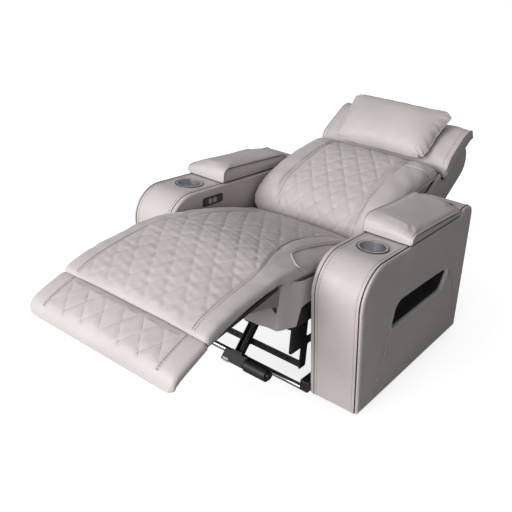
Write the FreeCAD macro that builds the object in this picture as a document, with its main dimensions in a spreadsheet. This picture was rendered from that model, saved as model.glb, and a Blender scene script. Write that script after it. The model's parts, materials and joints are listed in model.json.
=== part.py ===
import FreeCAD, Part
import math
import os
import re

import Sketcher
from FreeCAD import Placement, Rotation, Vector

# Power recliner armchair, reclined as it rests here: footrest out, back down
# Millimetres, +Z up, the sitter faces -Y, origin on the floor under the middle of the open chair
# The driving dimensions, each written once and bound to the pieces below
SIZES = (
    # Arms: side view measured from the bottom front corner of the arm
    ("seat_gap", 590), ("arm_width", 185), ("glide_rise", 25), ("arm_front", -233),
    ("arm_depth", 773), ("arm_deck", 517), ("front_overhang", 87), ("front_round", 110),
    ("hump_gap", 4), ("hump_ramp", 16), ("hump_rise", 24), ("hump_long", 103),
    ("hump_round", 45), ("wrap_thick", 20), ("panel_thick", 16), ("board_thick", 12),
    ("panel_edge", 7),
    # Cup holder, storage bin, side pocket and controls in the arms
    ("cup_place", 117), ("cup_radius", 44), ("cup_wall", 1.5), ("cup_depth", 72),
    ("cup_flange", 8), ("flange_thick", 3), ("fit_gap", 0.5),
    ("bin_front", 26), ("bin_rear", 17), ("bin_width", 116), ("bin_depth", 150),
    ("bin_wall", 2.5), ("bin_lip", 8),
    ("pocket_front", 180), ("pocket_length", 335), ("pocket_top", 329), ("pocket_drop", 82),
    ("pocket_slant", 30), ("pocket_deep", 55), ("pocket_round", 26), ("pocket_wall", 3),
    ("control_front", 92), ("control_length", 106), ("control_level", 455),
    ("control_height", 34), ("control_thick", 7), ("control_proud", 2), ("button_size", 18),
    ("button_pitch", 24), ("button_proud", 2), ("button_travel", 1.2), ("button_gap", 0.4),
    ("power_radius", 8), ("bezel_floor", 2),
    # Padded lids
    ("lid_front", 202), ("lid_length", 403), ("lid_seat", 3.3), ("lid_outer", 36),
    ("lid_inner", 62), ("lid_drop", 8), ("lid_board", 9), ("lid_inset", 2),
    ("lid_tuck", 2.5), ("lid_crown", 9),
    ("hinge_barrel", 4), ("hinge_leaf", 1.6), ("hinge_width", 90), ("pin_play", 0.08),
    # Glides
    ("glide_radius", 22), ("glide_inset", 75),
    # Base frame
    ("rail_width", 26), ("rail_foot", 28), ("rail_height", 40), ("rail_front", -252),
    ("rail_rear", 330), ("plate_gauge", 4), ("link_gap", 0.5), ("stud_radius", 6),
    ("head_radius", 10), ("head_thick", 3), ("link_width", 26),
    ("tube_radius", 10), ("tube_level", 31), ("tube_front", -237), ("tube_rear", 300),
    # Swing links that carry the seat
    ("swing_length", 120), ("swing_lean", 30), ("swing_front", -104), ("swing_rear", 176),
    ("swing_level", 95),
    # Seat plates and seat box
    ("seat_plate_in", 251.5), ("rib_foot", 186), ("rib_height", 30),
    ("hinge_front", -372), ("hinge_level", 398), ("ear_radius", 16),
    ("box_side", 20), ("box_front", -290), ("box_nose", -345), ("box_rear", 190),
    ("box_foot", 300), ("box_top", 412), ("box_step", 60), ("box_rear_top", 345),
    ("box_board", 18), ("strap_width", 50), ("strap_thick", 2), ("strap_pitch", 75),
    ("angle_leg", 25), ("angle_gauge", 3), ("angle_front", -248), ("angle_foot", 107),
    ("slot_pitch", 24), ("slot_radius", 3.5),
    # Footrest linkage: crank and push link copy the footrest's swing
    ("crank_back", 110), ("crank_drop", 130), ("crank_length", 62), ("crank_start", 158),
    ("torque_radius", 12.5), ("torque_play", 0.1), ("push_width", 20), ("crank_pin", 5),
    ("open_play", 0.4),
    ("foot_swing", 79), ("drive_swing", 60),
    # Footrest and its flap
    ("foot_tilt", 11), ("foot_length", 346), ("foot_half", 288), ("foot_board_level", 70),
    ("foot_board", 12), ("foot_pad", 34), ("foot_start", 15), ("flap_pivot_drop", 6),
    ("flap_tilt", 17), ("flap_length", 136), ("flap_barrel", 5), ("flap_pin", 2.6),
    ("mitre", 6),
    # Drive actuator: a slotted carriage on a rail turns the crank
    ("drive_place", 40), ("drive_tilt", 51), ("drive_reach", 85), ("drive_stem", 164),
    ("drive_head", 68), ("channel_width", 30), ("channel_depth", 22), ("channel_wall", 3),
    ("screw_radius", 5), ("slide_play", 0.4), ("nut_long", 34), ("gear_boss", 8),
    ("lug_reach", 15), ("seat_tube_radius", 9), ("fork_width", 12),
    ("fork_slot", 7.6), ("drive_pin", 6),
    ("gear_long", 38), ("gear_high", 44), ("gear_wide", 95), ("motor_radius", 24),
    ("motor_length", 88),
    # Back actuator
    ("back_place", -60), ("back_tilt", 12), ("back_reach", 115), ("back_stem", 225),
    ("back_head", 56), ("back_crank", 90), ("back_crank_start", 262), ("back_swing", 40),
    # Back, measured up the back from its hinge
    ("recline", 56), ("back_hinge_y", 224), ("back_hinge_z", 365), ("back_pin", 7),
    ("back_half", 279), ("back_rail", 19), ("back_front", 10), ("back_rear", 165),
    ("back_split", 450), ("back_set", 66), ("back_top", 640), ("shell_wall", 8),
    ("board_one", 24), ("board_two", 225),
    ("board_four", 400), ("board_top", 585), ("board_high", 36), ("shell_foot", -40),
    ("shell_top", 678), ("shell_set", 64),
    ("cushion_half", 283), ("back_seam", 165), ("back_crown", 34), ("cushion_front", 142),
    # Headrest and pillow
    ("head_pivot_up", 472), ("head_pivot_back", 60), ("head_pin", 5), ("head_half", 298),
    ("head_foot", 462), ("head_top", 725), ("head_board_back", 58), ("head_place", 200),
    ("head_seam", 250),
    ("pillow_half", 205), ("pillow_foot", 458), ("pillow_top", 702), ("pillow_seam", 62),
    ("pillow_crown", 42),
    # Seat cushion
    ("seat_half", 283), ("seat_crest", 552), ("seat_rear_top", 449), ("seat_rear", 62),
    ("seat_lean", 9), ("nose_reach", 12), ("seat_seam", 222), ("seat_crown", 35),
    ("seam_notch", 5),
    ("soft_gap", 0.3),
)

doc = FreeCAD.newDocument("recliner")
sheet = doc.addObject("Spreadsheet::Sheet", "Sizes")
for row, (alias, number) in enumerate(SIZES, start=1):
    sheet.set("A%d" % row, alias)
    sheet.set("B%d" % row, str(number))
    sheet.setAlias("B%d" % row, alias)
doc.recompute()
ALIASES = {alias for alias, number in SIZES}
WORD = re.compile(r"[a-z_]+")
SIDES = (("left", -1), ("right", 1))
# Share of a pad's crown reached at its seams
SEAM_SHARE = 0.82
NEAR = 0.01
parts = []


def bound(text):
    """The text as an expression on the sheet's cells."""
    def name(match):
        word = match.group(0)
        return "Sizes." + word if word in ALIASES else word
    return WORD.sub(name, str(text))


def value(text):
    result = sheet.evalExpression(bound(text))
    return float(getattr(result, "Value", result))


def bind(target, path, text):
    target.setExpression(path, bound(text))


def new_body(label):
    body = doc.addObject("PartDesign::Body", label)
    body.Label = label
    parts.append(body)
    return body


def place(body, where, tilt=None):
    """Bind a body's place, and its turn about X, to the sheet."""
    if tilt is not None:
        body.Placement = Placement(Vector(), Rotation(Vector(1, 0, 0), value(tilt)))
        bind(body, "Placement.Rotation.Angle", tilt)
    for axis, text in zip("xyz", where):
        bind(body, "Placement.Base." + axis, text)


def origin_plane(body, role):
    return next(item for item in body.Origin.OriginFeatures if item.Role == role)


def new_sketch(body, role, start):
    sketch = body.newObject("Sketcher::SketchObject", body.Label + "_sketch")
    sketch.AttachmentSupport = (origin_plane(body, role), [""])
    sketch.MapMode = "FlatFace"
    bind(sketch, "AttachmentOffset.Base.z", start)
    return sketch


def fix_point(sketch, element, end, corner):
    for kind, text in zip(("DistanceX", "DistanceY"), corner):
        index = sketch.addConstraint(Sketcher.Constraint(kind, element, end, value(text)))
        bind(sketch, "Constraints[%d]" % index, text)


def draw_circle(sketch, across, up, radius):
    centre = Vector(value(across), value(up), 0)
    ring = sketch.addGeometry(Part.Circle(centre, Vector(0, 0, 1), value(radius)), False)
    index = sketch.addConstraint(Sketcher.Constraint("Radius", ring, value(radius)))
    bind(sketch, "Constraints[%d]" % index, radius)
    fix_point(sketch, ring, 3, (across, up))


def corner_arc(before, here, after, radius):
    """Tangent points, centre and middle of the arc that rounds one corner."""
    back = (before - here).normalize()
    ahead = (after - here).normalize()
    half = back.getAngle(ahead) / 2
    reach = radius / math.tan(half)
    centre = here + (back + ahead).normalize() * (radius / math.sin(half))
    middle = centre + (here - centre).normalize() * radius
    return here + back * reach, middle, here + ahead * reach


def draw_outline(sketch, corners):
    """A closed outline of lines, with an arc at each corner that has a radius."""
    points = [Vector(value(item[0]), value(item[1]), 0) for item in corners]
    radii = [item[2] if len(item) > 2 else None for item in corners]
    count = len(points)
    starts, ends, arcs = {}, {}, {}
    for i, radius in enumerate(radii):
        starts[i] = ends[i] = points[i]
        if radius is None:
            continue
        first, middle, last = corner_arc(points[i - 1], points[i],
                                         points[(i + 1) % count], value(radius))
        ends[i], starts[i] = first, last
        arcs[i] = (first, middle, last)
    lines = []
    for i in range(count):
        segment = Part.LineSegment(starts[i], ends[(i + 1) % count])
        lines.append(sketch.addGeometry(segment, False))
    for i, radius in enumerate(radii):
        before, after = lines[i - 1], lines[i]
        if radius is None:
            sketch.addConstraint(Sketcher.Constraint("Coincident", before, 2, after, 1))
            fix_point(sketch, after, 1, corners[i][:2])
            continue
        first, middle, last = arcs[i]
        arc = sketch.addGeometry(Part.Arc(first, middle, last), False)
        opens = sketch.getPoint(arc, 1).distanceToPoint(first) < 0.001
        head, tail = (1, 2) if opens else (2, 1)
        sketch.addConstraint(Sketcher.Constraint("Tangent", before, 2, arc, head))
        sketch.addConstraint(Sketcher.Constraint("Tangent", arc, tail, after, 1))
        index = sketch.addConstraint(Sketcher.Constraint("Radius", arc, value(radius)))
        bind(sketch, "Constraints[%d]" % index, radius)
        mark = sketch.addGeometry(Part.Point(points[i]), True)
        fix_point(sketch, mark, 1, corners[i][:2])
        sketch.addConstraint(Sketcher.Constraint("PointOnObject", mark, 1, before))
        sketch.addConstraint(Sketcher.Constraint("PointOnObject", mark, 1, after))


def extrude(body, kind, role, start, length, outlines=(), circles=()):
    """Pad or pocket that runs from start along the plane's normal for length."""
    sketch = new_sketch(body, role, start)
    for corners in outlines:
        draw_outline(sketch, corners)
    for circle in circles:
        draw_circle(sketch, *circle)
    feature = body.newObject("PartDesign::" + kind, body.Label + "_" + kind.lower())
    feature.Profile = (sketch, [""])
    bind(feature, "Length", length)
    feature.Reversed = kind == "Pocket"
    return feature


def pad(body, role, start, length, outlines=(), circles=()):
    return extrude(body, "Pad", role, start, length, outlines, circles)


def pocket(body, role, start, length, outlines=(), circles=()):
    return extrude(body, "Pocket", role, start, length, outlines, circles)


def rectangle(left, low, right, high, radius=None):
    corners = [(left, low), (right, low), (right, high), (left, high)]
    if radius is None:
        return corners
    return [corner + (radius,) for corner in corners]


def stud(body, side, face, across, up, radius, reach, head="head_radius"):
    """A shouldered stud with a riveted head, from a face towards the given side."""
    start = face if side > 0 else "-(%s) - (%s)" % (face, reach)
    pad(body, "YZ_Plane", start, reach, circles=[(across, up, radius)])
    if head is None:
        return
    far = "%s + %s" % (face, reach) if side > 0 else "-(%s) - (%s) - head_thick" % (face, reach)
    pad(body, "YZ_Plane", far, "head_thick", circles=[(across, up, head)])


def round_edges(body, feature, radius, wanted):
    doc.recompute()
    names = ["Edge%d" % (i + 1) for i, edge in enumerate(feature.Shape.Edges) if wanted(edge)]
    fillet = body.newObject("PartDesign::Fillet", body.Label + "_fillet")
    fillet.Base = (feature, names)
    bind(fillet, "Radius", radius)
    return fillet


def together(label, members):
    """Several pieces of one kind under one name."""
    group = doc.addObject("Part::Compound", label)
    group.Label = label
    group.Links = members
    parts.append(group)


def pair(label, make):
    """Left and right pieces that move as one, kept together under one name."""
    members = []
    for name, side in SIDES:
        make(name, side)
        members.append(parts.pop())
    together(label, members)


def soft(label, wires, where=("0", "0", "0"), tilt=None):
    """A padded solid: a loft through closed sections of lines and arcs."""
    piece = doc.addObject("Part::Feature", label)
    piece.Label = label
    piece.Shape = Part.makeLoft(wires, True, True)
    place(piece, where, tilt)
    parts.append(piece)
    return piece


def spring_line(points):
    """Lines and three-point arcs in order: each item is an end, or a middle and an end."""
    edges = []
    here = points[0]
    for step in points[1:]:
        if len(step) == 2:
            edges.append(Part.Arc(here, step[0], step[1]).toShape())
        else:
            edges.append(Part.makeLine(here, step[0]))
        here = step[-1]
    return Part.Wire(edges)


def pad_section(lift, half, low, high, crown, seam, notch, tuck, shoulder):
    """Cross section of a pad: flat under, drawn-in sides, crowned top with two sewn seams."""
    top = low + high
    belly = low + high * 0.5
    rise = top + crown * SEAM_SHARE
    flank = top + crown * shoulder
    groove = notch * 0.8 + NEAR
    dip = rise - notch - NEAR
    side = half - tuck
    start = lift(-side, low)
    return spring_line([
        start,
        (lift(side, low),),
        (lift(half, belly), lift(side, top)),
        (lift((half + seam) / 2, flank), lift(seam + groove, rise)),
        (lift(seam, dip),),
        (lift(seam - groove, rise),),
        (lift(0, top + crown), lift(groove - seam, rise)),
        (lift(-seam, dip),),
        (lift(-seam - groove, rise),),
        (lift(-(half + seam) / 2, flank), lift(-side, top)),
        (lift(-half, belly), start),
    ])


# Arms

HUMP = "lid_front + lid_length + hump_gap"
HUMP_END = HUMP + " + hump_long"
BIN_LENGTH = "(lid_length - bin_front - bin_rear)"


def arm_outline():
    return [
        ("0", "0"),
        ("-front_overhang", "arm_deck", "front_round"),
        (HUMP, "arm_deck", "hump_ramp / 2"),
        (HUMP + " + hump_ramp", "arm_deck + hump_rise", "hump_ramp / 2"),
        (HUMP_END, "arm_deck + hump_rise", "hump_round"),
        ("arm_depth", "0"),
    ]


def arm_place(side, inner, width):
    """Left and right pieces share one outline and mirror only their place."""
    across = inner if side > 0 else "-(%s) - (%s)" % (inner, width)
    return across, "arm_front", "glide_rise"


def pocket_outline(grow):
    slant = "pocket_slant * (1 + 2 * (%s) / pocket_drop)" % grow
    low = "pocket_top - pocket_drop - (%s)" % grow
    high = "pocket_top + (%s)" % grow
    front = "pocket_front - (%s)" % grow
    rear = "pocket_front + pocket_length + (%s)" % grow
    radius = "pocket_round + (%s)" % grow
    return [("%s - %s" % (front, slant), low, radius), ("%s - %s" % (rear, slant), low, radius),
            (rear, high, radius), (front, high, radius)]


def arm_cover(name, side):
    """Upholstered strip over the front, deck and rear of the arm."""
    body = new_body("arm_cover_" + name)
    wall = "wrap_thick"
    ring = arm_outline() + [
        ("arm_depth - wrap_thick", "0"),
        (HUMP_END + " - wrap_thick", "arm_deck - wrap_thick", "hump_ramp"),
        ("wrap_thick - front_overhang", "arm_deck - wrap_thick", "front_round - wrap_thick"),
        (wall, "0"),
    ]
    span = "arm_width - 2 * panel_thick"
    pad(body, "YZ_Plane", "0", span, [ring])
    low = "arm_deck - 2 * wrap_thick"
    pocket(body, "XY_Plane", low, "3 * wrap_thick", circles=[
        ("(arm_width - 2 * panel_thick) / 2", "cup_place", "cup_radius + fit_gap")])
    pocket(body, "XY_Plane", low, "3 * wrap_thick", [bin_rectangle("fit_gap")])
    place(body, arm_place(side, "seat_gap / 2 + panel_thick", span))


def bin_rectangle(grow, radius="bin_lip"):
    middle = "(arm_width - 2 * panel_thick) / 2"
    left = "%s - bin_width / 2 - (%s)" % (middle, grow)
    right = "%s + bin_width / 2 + (%s)" % (middle, grow)
    front = "lid_front + bin_front"
    return rectangle(left, "%s - (%s)" % (front, grow), right,
                     "%s + %s + (%s)" % (front, BIN_LENGTH, grow), radius)


def arm_frame(name, side):
    """Plywood ring inside the cover, with the floor board that the glides screw to."""
    body = new_body("arm_frame_" + name)
    outer = [
        ("wrap_thick", "0"),
        ("wrap_thick - front_overhang", "arm_deck - wrap_thick", "front_round - wrap_thick"),
        (HUMP_END + " - wrap_thick", "arm_deck - wrap_thick", "hump_ramp"),
        ("arm_depth - wrap_thick", "0"),
    ]
    step = "wrap_thick + board_thick"
    inner = [
        (step, "board_thick"),
        (step + " - front_overhang", "arm_deck - wrap_thick - board_thick",
         "front_round - wrap_thick - board_thick"),
        (HUMP_END + " - wrap_thick - board_thick", "arm_deck - wrap_thick - board_thick",
         "hump_ramp"),
        ("arm_depth - wrap_thick - board_thick", "board_thick"),
    ]
    span = "arm_width - 2 * panel_thick"
    pad(body, "YZ_Plane", "0", span, [outer, inner])
    low = "arm_deck - wrap_thick - 2 * board_thick"
    pocket(body, "XY_Plane", low, "3 * board_thick", circles=[
        ("(arm_width - 2 * panel_thick) / 2", "cup_place", "cup_radius + fit_gap")])
    pocket(body, "XY_Plane", low, "3 * board_thick", [bin_rectangle("fit_gap")])
    place(body, arm_place(side, "seat_gap / 2 + panel_thick", span))


def arm_panel_outer(name, side):
    """Padded outer side panel with the slot of the magazine pocket."""
    body = new_body("arm_panel_outer_" + name)
    plate = pad(body, "YZ_Plane", "0", "panel_thick", [arm_outline()])
    doc.recompute()
    face = value("panel_thick") if side > 0 else 0.0
    round_edges(body, plate, "panel_edge",
                lambda edge: abs(edge.CenterOfMass.x - face) < 0.001
                and edge.CenterOfMass.z > 1)
    pocket(body, "YZ_Plane", "-panel_thick", "3 * panel_thick", [pocket_outline("0")])
    place(body, arm_place(side, "seat_gap / 2 + arm_width - panel_thick", "panel_thick"))


def control_rectangle(grow, radius="control_height / 4"):
    return rectangle("control_front - (%s)" % grow, "control_level - (%s)" % grow,
                     "control_front + control_length + (%s)" % grow,
                     "control_level + control_height + (%s)" % grow, radius)


def arm_panel_inner(name, side):
    """Padded inner side panel; the left one carries the control panel."""
    body = new_body("arm_panel_inner_" + name)
    plate = pad(body, "YZ_Plane", "0", "panel_thick", [arm_outline()])
    doc.recompute()
    face = 0.0 if side > 0 else value("panel_thick")
    round_edges(body, plate, "panel_edge",
                lambda edge: abs(edge.CenterOfMass.x - face) < 0.001
                and edge.CenterOfMass.z > 1)
    if side < 0:
        pocket(body, "YZ_Plane", "panel_thick - control_thick + control_proud",
               "2 * panel_thick", [control_rectangle("0")])
    place(body, arm_place(side, "seat_gap / 2", "panel_thick"))


def cup_holder(name, side):
    """Spun steel cup with a rolled flange that rests on the deck."""
    body = new_body("cup_holder_" + name)
    rim = "cup_radius + cup_flange"
    pad(body, "XY_Plane", "-cup_depth", "cup_depth", circles=[("0", "0", "cup_radius")])
    flange = pad(body, "XY_Plane", "0", "flange_thick", circles=[("0", "0", rim)])
    level = value("flange_thick")
    round_edges(body, flange, "flange_thick * 0.6",
                lambda edge: abs(edge.CenterOfMass.z - level) < 0.001)
    pocket(body, "XY_Plane", "cup_wall - cup_depth", "cup_depth + 2 * flange_thick",
           circles=[("0", "0", "cup_radius - cup_wall")])
    across = "%d * (seat_gap + arm_width) / 2" % side
    place(body, (across, "arm_front + cup_place", "glide_rise + arm_deck"))


def storage_bin(name, side):
    """Moulded bin under the padded lid, hung by its lip on the deck."""
    body = new_body("storage_bin_" + name)
    pad(body, "XY_Plane", "arm_deck - bin_depth", "bin_depth", [bin_rectangle("0")])
    pad(body, "XY_Plane", "arm_deck", "flange_thick", [bin_rectangle("bin_lip")])
    pocket(body, "XY_Plane", "arm_deck - bin_depth + bin_wall", "bin_depth + flange_thick",
           [bin_rectangle("-bin_wall", "bin_lip - bin_wall")])
    span = "arm_width - 2 * panel_thick"
    place(body, arm_place(side, "seat_gap / 2 + panel_thick", span))


def side_pocket(name, side):
    """Black liner of the magazine pocket behind the slot."""
    body = new_body("side_pocket_" + name)
    pad(body, "YZ_Plane", "0", "pocket_deep", [pocket_outline("pocket_wall")])
    start = "pocket_wall" if side > 0 else "-pocket_wall"
    pocket(body, "YZ_Plane", start, "pocket_deep", [pocket_outline("0")])
    place(body, arm_place(side, "seat_gap / 2 + arm_width - panel_thick - pocket_deep",
                          "pocket_deep"))


# Share of the length, drawn-in side, fall of the top
LID_STATIONS = ((0, 6, 12), (0.03, 1, 4), (0.3, 0, 0), (0.7, 0, 0), (0.97, 0, 3), (1, 3, 9))


def lid_section(lift, wide, low, left, right):
    """Cross section of a lid: flat under, crowned top between two side heights."""
    tuck = value("lid_tuck")
    crown = value("lid_crown")
    step = (right - left) / 2
    middle = (left + right) / 2
    foot = lift(tuck - wide, low)
    return spring_line([
        foot,
        (lift(wide - tuck, low),),
        (lift(wide, (low + right) / 2), lift(wide - tuck, right - 2)),
        (lift(wide * 0.8, middle + step * 0.8 + crown * 0.6),
         lift(wide * 0.45, middle + step * 0.45 + crown * 0.8)),
        (lift(0, middle + crown), lift(-wide * 0.45, middle - step * 0.45 + crown * 0.8)),
        (lift(-wide * 0.8, middle - step * 0.8 + crown * 0.6), lift(tuck - wide, left - 2)),
        (lift(-wide, (low + left) / 2), foot),
    ])


def lid_pad(name, side):
    """Padded lid, crowned and higher on its inner edge."""
    half = value("arm_width / 2 - lid_inset")
    heights = [value("lid_inner"), value("lid_outer")]
    if side < 0:
        heights.reverse()
    wires = []
    for share, shrink, sink in LID_STATIONS:
        y = value("lid_front + lid_length * %s" % share)
        fall = value("lid_drop * %s" % share) + sink

        def lift(x, z, y=y):
            return Vector(x, y, z)
        left, right = (height - fall for height in heights)
        wires.append(lid_section(lift, half - shrink, value("lid_board"), left, right))
    soft("lid_pad_" + name, wires,
         ("%d * (seat_gap + arm_width) / 2" % side, "arm_front",
          "glide_rise + arm_deck + lid_seat"))


LID_PIVOT = (HUMP + " + 4", "hump_rise + 4")


def lid_board(name, side):
    """Board that stiffens the lid, with its hinge ears at the rear."""
    body = new_body("lid_board_" + name)
    half = "(arm_width / 2 - lid_inset - 4)"
    pad(body, "XY_Plane", "0", "lid_board", [
        rectangle("-" + half, "lid_front + 4", half, "lid_front + lid_length - 1", "6")])
    across, up = LID_PIVOT[0], LID_PIVOT[1] + " - lid_seat"
    rear = "lid_front + lid_length"
    for start in ("hinge_width / 4 + 1", "-hinge_width / 2"):
        pad(body, "YZ_Plane", start, "hinge_width / 4 - 1", [[
            (rear + " - 4", "1"), (rear + " + 3", "1"),
            (across + " + 5", up + " - 4", "4"), (across + " + 5", up + " + 5", "4"),
            (across + " - 5", up + " + 5", "4"), (rear + " + 1.5", "lid_board + 3"),
            (rear + " + 0.6", "lid_board"), (rear + " - 4", "lid_board")]],
            circles=[(across, up, "hinge_barrel - 1 + pin_play")])
    place(body, ("%d * (seat_gap + arm_width) / 2" % side, "arm_front",
                 "glide_rise + arm_deck + lid_seat"))


def lid_hinge(name, side):
    """Knuckle block on the ramp behind the lid, with the hinge pin."""
    body = new_body("lid_hinge_" + name)
    across, up = LID_PIVOT
    ramp = [("%s + %s * hump_ramp" % (HUMP, share), "%s * hump_rise" % share)
            for share in ("0.25", "0.8")]
    pad(body, "YZ_Plane", "-hinge_width / 4", "hinge_width / 2", [[
        ramp[0], ramp[1], (across + " + 6", up + " + 5", "3"),
        (across + " - 5", up + " + 5", "3"), (across + " - 5", up + " - 5", "3")]])
    pad(body, "YZ_Plane", "-hinge_width / 2", "hinge_width", circles=[
        (across, up, "hinge_barrel - 1")])
    place(body, ("%d * (seat_gap + arm_width) / 2" % side, "arm_front",
                 "glide_rise + arm_deck"))


# Glides, base rails and cross tubes

def glides():
    """Four tapered plastic glides under the arm frames."""
    foot = []
    for name, side in SIDES:
        for end in ("glide_inset", "arm_depth - glide_inset"):
            cone = doc.addObject("Part::Cone", "glide")
            bind(cone, "Radius1", "glide_radius * 0.85")
            bind(cone, "Radius2", "glide_radius")
            bind(cone, "Height", "glide_rise")
            place(cone, ("%d * (seat_gap + arm_width) / 2" % side,
                         "arm_front + " + end, "0"))
            foot.append(cone)
    together("glides", foot)


def swing_pin(which):
    return "swing_" + which, "swing_level"


def swing_top(which):
    lean = "sin(swing_lean * 1deg)"
    rise = "cos(swing_lean * 1deg)"
    return ("swing_%s - swing_length * %s" % (which, lean),
            "swing_level + swing_length * %s" % rise)


LINK_IN = "seat_plate_in + plate_gauge + head_thick + 4 * link_gap"
LINK_OUT = LINK_IN + " + plate_gauge"
PLATE_IN = LINK_OUT + " + link_gap"


def base_side(name, side):
    """Side rail of the base with its pivot plate and the two fixed swing pivots."""
    body = new_body("base_side_" + name)
    inner = PLATE_IN
    span = "seat_gap / 2 - (%s)" % inner
    start = inner if side > 0 else "-(seat_gap / 2)"
    pad(body, "YZ_Plane", start, span, [
        rectangle("rail_front", "rail_foot", "rail_rear", "rail_foot + rail_height", "4")])
    gauge = inner if side > 0 else "-(%s) - plate_gauge" % inner
    for which in ("front", "rear"):
        across, up = swing_pin(which)
        foot = "rail_foot + rail_height / 2"
        pad(body, "YZ_Plane", gauge, "plate_gauge", [[
            (across + " - 2.2 * link_width", foot), (across + " + 2.2 * link_width", foot),
            (across + " + 0.7 * link_width", up + " + 0.6 * link_width", "link_width / 2"),
            (across + " - 0.7 * link_width", up + " + 0.6 * link_width", "link_width / 2")]])
        stud(body, -side, "-(%s)" % inner, across, up, "stud_radius",
             "plate_gauge + 2 * link_gap")


def cross_tube(label, across, up, radius, half):
    body = new_body(label)
    pad(body, "YZ_Plane", "-(%s)" % half, "2 * (%s)" % half, circles=[
        ("0", "0", radius), ("0", "0", radius + " - 2")])
    place(body, ("0", across, up))


def link_plate(body, start, length, width, near, far):
    """Flat link with round ends and a hole at each end."""
    half = width + " / 2"
    high = "%s + %s" % (length, half)
    round_end = half + " - 0.5"
    pad(body, "YZ_Plane", start, "plate_gauge", [[
        ("-" + half, "-" + half, round_end), (half, "-" + half, round_end),
        (half, high, round_end), ("-" + half, high, round_end)]],
        circles=[("0", "0", near), ("0", length, far)])


def swing_links(which):
    """Swing links of one axle, from base pivot to seat pivot."""
    def make(name, side):
        body = new_body("%s_swing_link_%s" % (which, name))
        start = LINK_IN if side > 0 else "-(%s) - plate_gauge" % LINK_IN
        hole = "stud_radius + pin_play"
        link_plate(body, start, "swing_length", "link_width", hole, hole)
        across, up = swing_pin(which)
        place(body, ("0", across, up), "swing_lean")
    pair(which + "_swing_links", make)


# Seat plates, box, straps and cushion

HINGE = ("hinge_front", "hinge_level")
CRANK = ("hinge_front + crank_back", "hinge_level - crank_drop")
BACK = ("back_hinge_y", "back_hinge_z")


def seat_plate(name, side):
    """Stamped side plate of the seat: carries the box, footrest, crank and back pivots."""
    body = new_body("seat_plate_" + name)
    top = "rib_foot + rib_height"
    ear = "ear_radius"
    front, level = HINGE
    across, up = BACK
    outline = [
        (CRANK[0] + " - 56", "rib_foot", "14"),
        ("angle_front - 4", "rib_foot", "6"),
        ("angle_front - 4", "angle_foot - 4", "5"),
        ("angle_front + angle_leg + 6", "angle_foot - 4", "5"),
        ("angle_front + angle_leg + 6", "rib_foot", "6"),
        (across + " - 55", "rib_foot", "18"),
        (across + " + 1.1 * " + ear, up + " - " + ear, ear),
        (across + " + 1.1 * " + ear, up + " + 1.1 * " + ear, ear),
        (across + " - 1.1 * " + ear, up + " + 1.1 * " + ear, ear),
        (across + " - 1.2 * " + ear, up + " - " + ear, "8"),
        (across + " - 92", top, "12"),
        ("box_step - 5", top, "10"),
        ("box_step - 5", "box_foot + 30", "8"),
        ("box_step - 45", "box_foot + 30", "8"),
        ("box_step - 45", top, "10"),
        (CRANK[0] + " + 34", top, "12"),
        (CRANK[0] + " + 34", "box_foot + 50", "12"),
        (front + " + " + ear, level + " + 1.05 * " + ear, ear + " - 1"),
        (front + " - 1.05 * " + ear, level + " + 1.05 * " + ear, ear + " - 1"),
        (front + " - 1.05 * " + ear, level + " - " + ear, ear + " - 1"),
        (CRANK[0] + " - 56", "box_foot - 12", "14"),
    ]
    start = "seat_plate_in" if side > 0 else "-seat_plate_in - plate_gauge"
    pad(body, "YZ_Plane", start, "plate_gauge", [outline],
        circles=[CRANK + ("torque_radius + torque_play",)])
    outer = "seat_plate_in + plate_gauge"
    for which in ("front", "rear"):
        spot = swing_top(which)
        stud(body, side, outer, spot[0], spot[1], "stud_radius",
             "%s + link_gap - (%s)" % (LINK_OUT, outer))
    stud(body, side, outer, across, up, "back_pin", "plate_gauge + 2 * link_gap")
    stud(body, -side, "-seat_plate_in", front, level, "stud_radius",
         "plate_gauge + 4 * link_gap", None)


def seat_box():
    """Wooden box that carries the cushion: two sides, front, middle and rear boards."""
    body = new_body("seat_box")
    inside = "seat_plate_in + plate_gauge"
    outside = inside + " + box_side"
    depth = "box_top - box_foot"
    board = [
        ("box_nose", "box_foot", "12"), ("box_rear", "box_foot", "12"),
        ("box_rear", "box_rear_top", "12"), ("box_step", "box_rear_top", "12"),
        ("box_step", "box_top"), ("box_nose", "box_top", "12")]
    pad(body, "YZ_Plane", inside, "box_side", [board])
    for rear, high in (("box_front + box_board", depth), ("box_step", depth),
                       ("box_rear", "box_rear_top - box_foot")):
        pad(body, "XY_Plane", "box_foot", high, [
            rectangle("-(%s)" % inside, rear + " - box_board", inside, rear)])
    pad(body, "YZ_Plane", "-(%s)" % outside, "box_side", [board])
    for start in ("seat_plate_in", "-(%s)" % inside):
        pocket(body, "YZ_Plane", start, "plate_gauge", [
            rectangle("box_nose", "box_foot - 1", "box_rear + 1", "box_foot + 82")])


def seat_straps():
    """Elastic straps stretched across the box under the cushion."""
    straps = []
    half = "(seat_plate_in + plate_gauge + box_side)"
    count = int((value("box_step") - value("box_front")) / value("strap_pitch")) + 1
    for i in range(count):
        strap = doc.addObject("Part::Box", "strap")
        bind(strap, "Length", "2 * " + half)
        bind(strap, "Width", "strap_width")
        bind(strap, "Height", "strap_thick")
        place(strap, ("-" + half, "box_front + %d * strap_pitch" % i, "box_top"))
        straps.append(strap)
    together("seat_straps", straps)


# Share of the length, rise of the underside, share of the sag, extra fall, drawn-in side
SEAT_STATIONS = (
    (0.0, 56, 0, 24, 9), (0.015, 52, 0, 12, 4), (0.05, 36, 0, 4, 1), (0.12, 0, 0.02, 0, 0),
    (0.31, 0, 0.12, 0, 0), (0.5, 0, 0.28, 0, 0), (0.68, 0, 0.48, 0, 0), (0.85, 0, 0.72, 0, 0),
    (0.96, 0, 0.93, 1, 1), (1.0, 0, 1, 11, 7),
)


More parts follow.
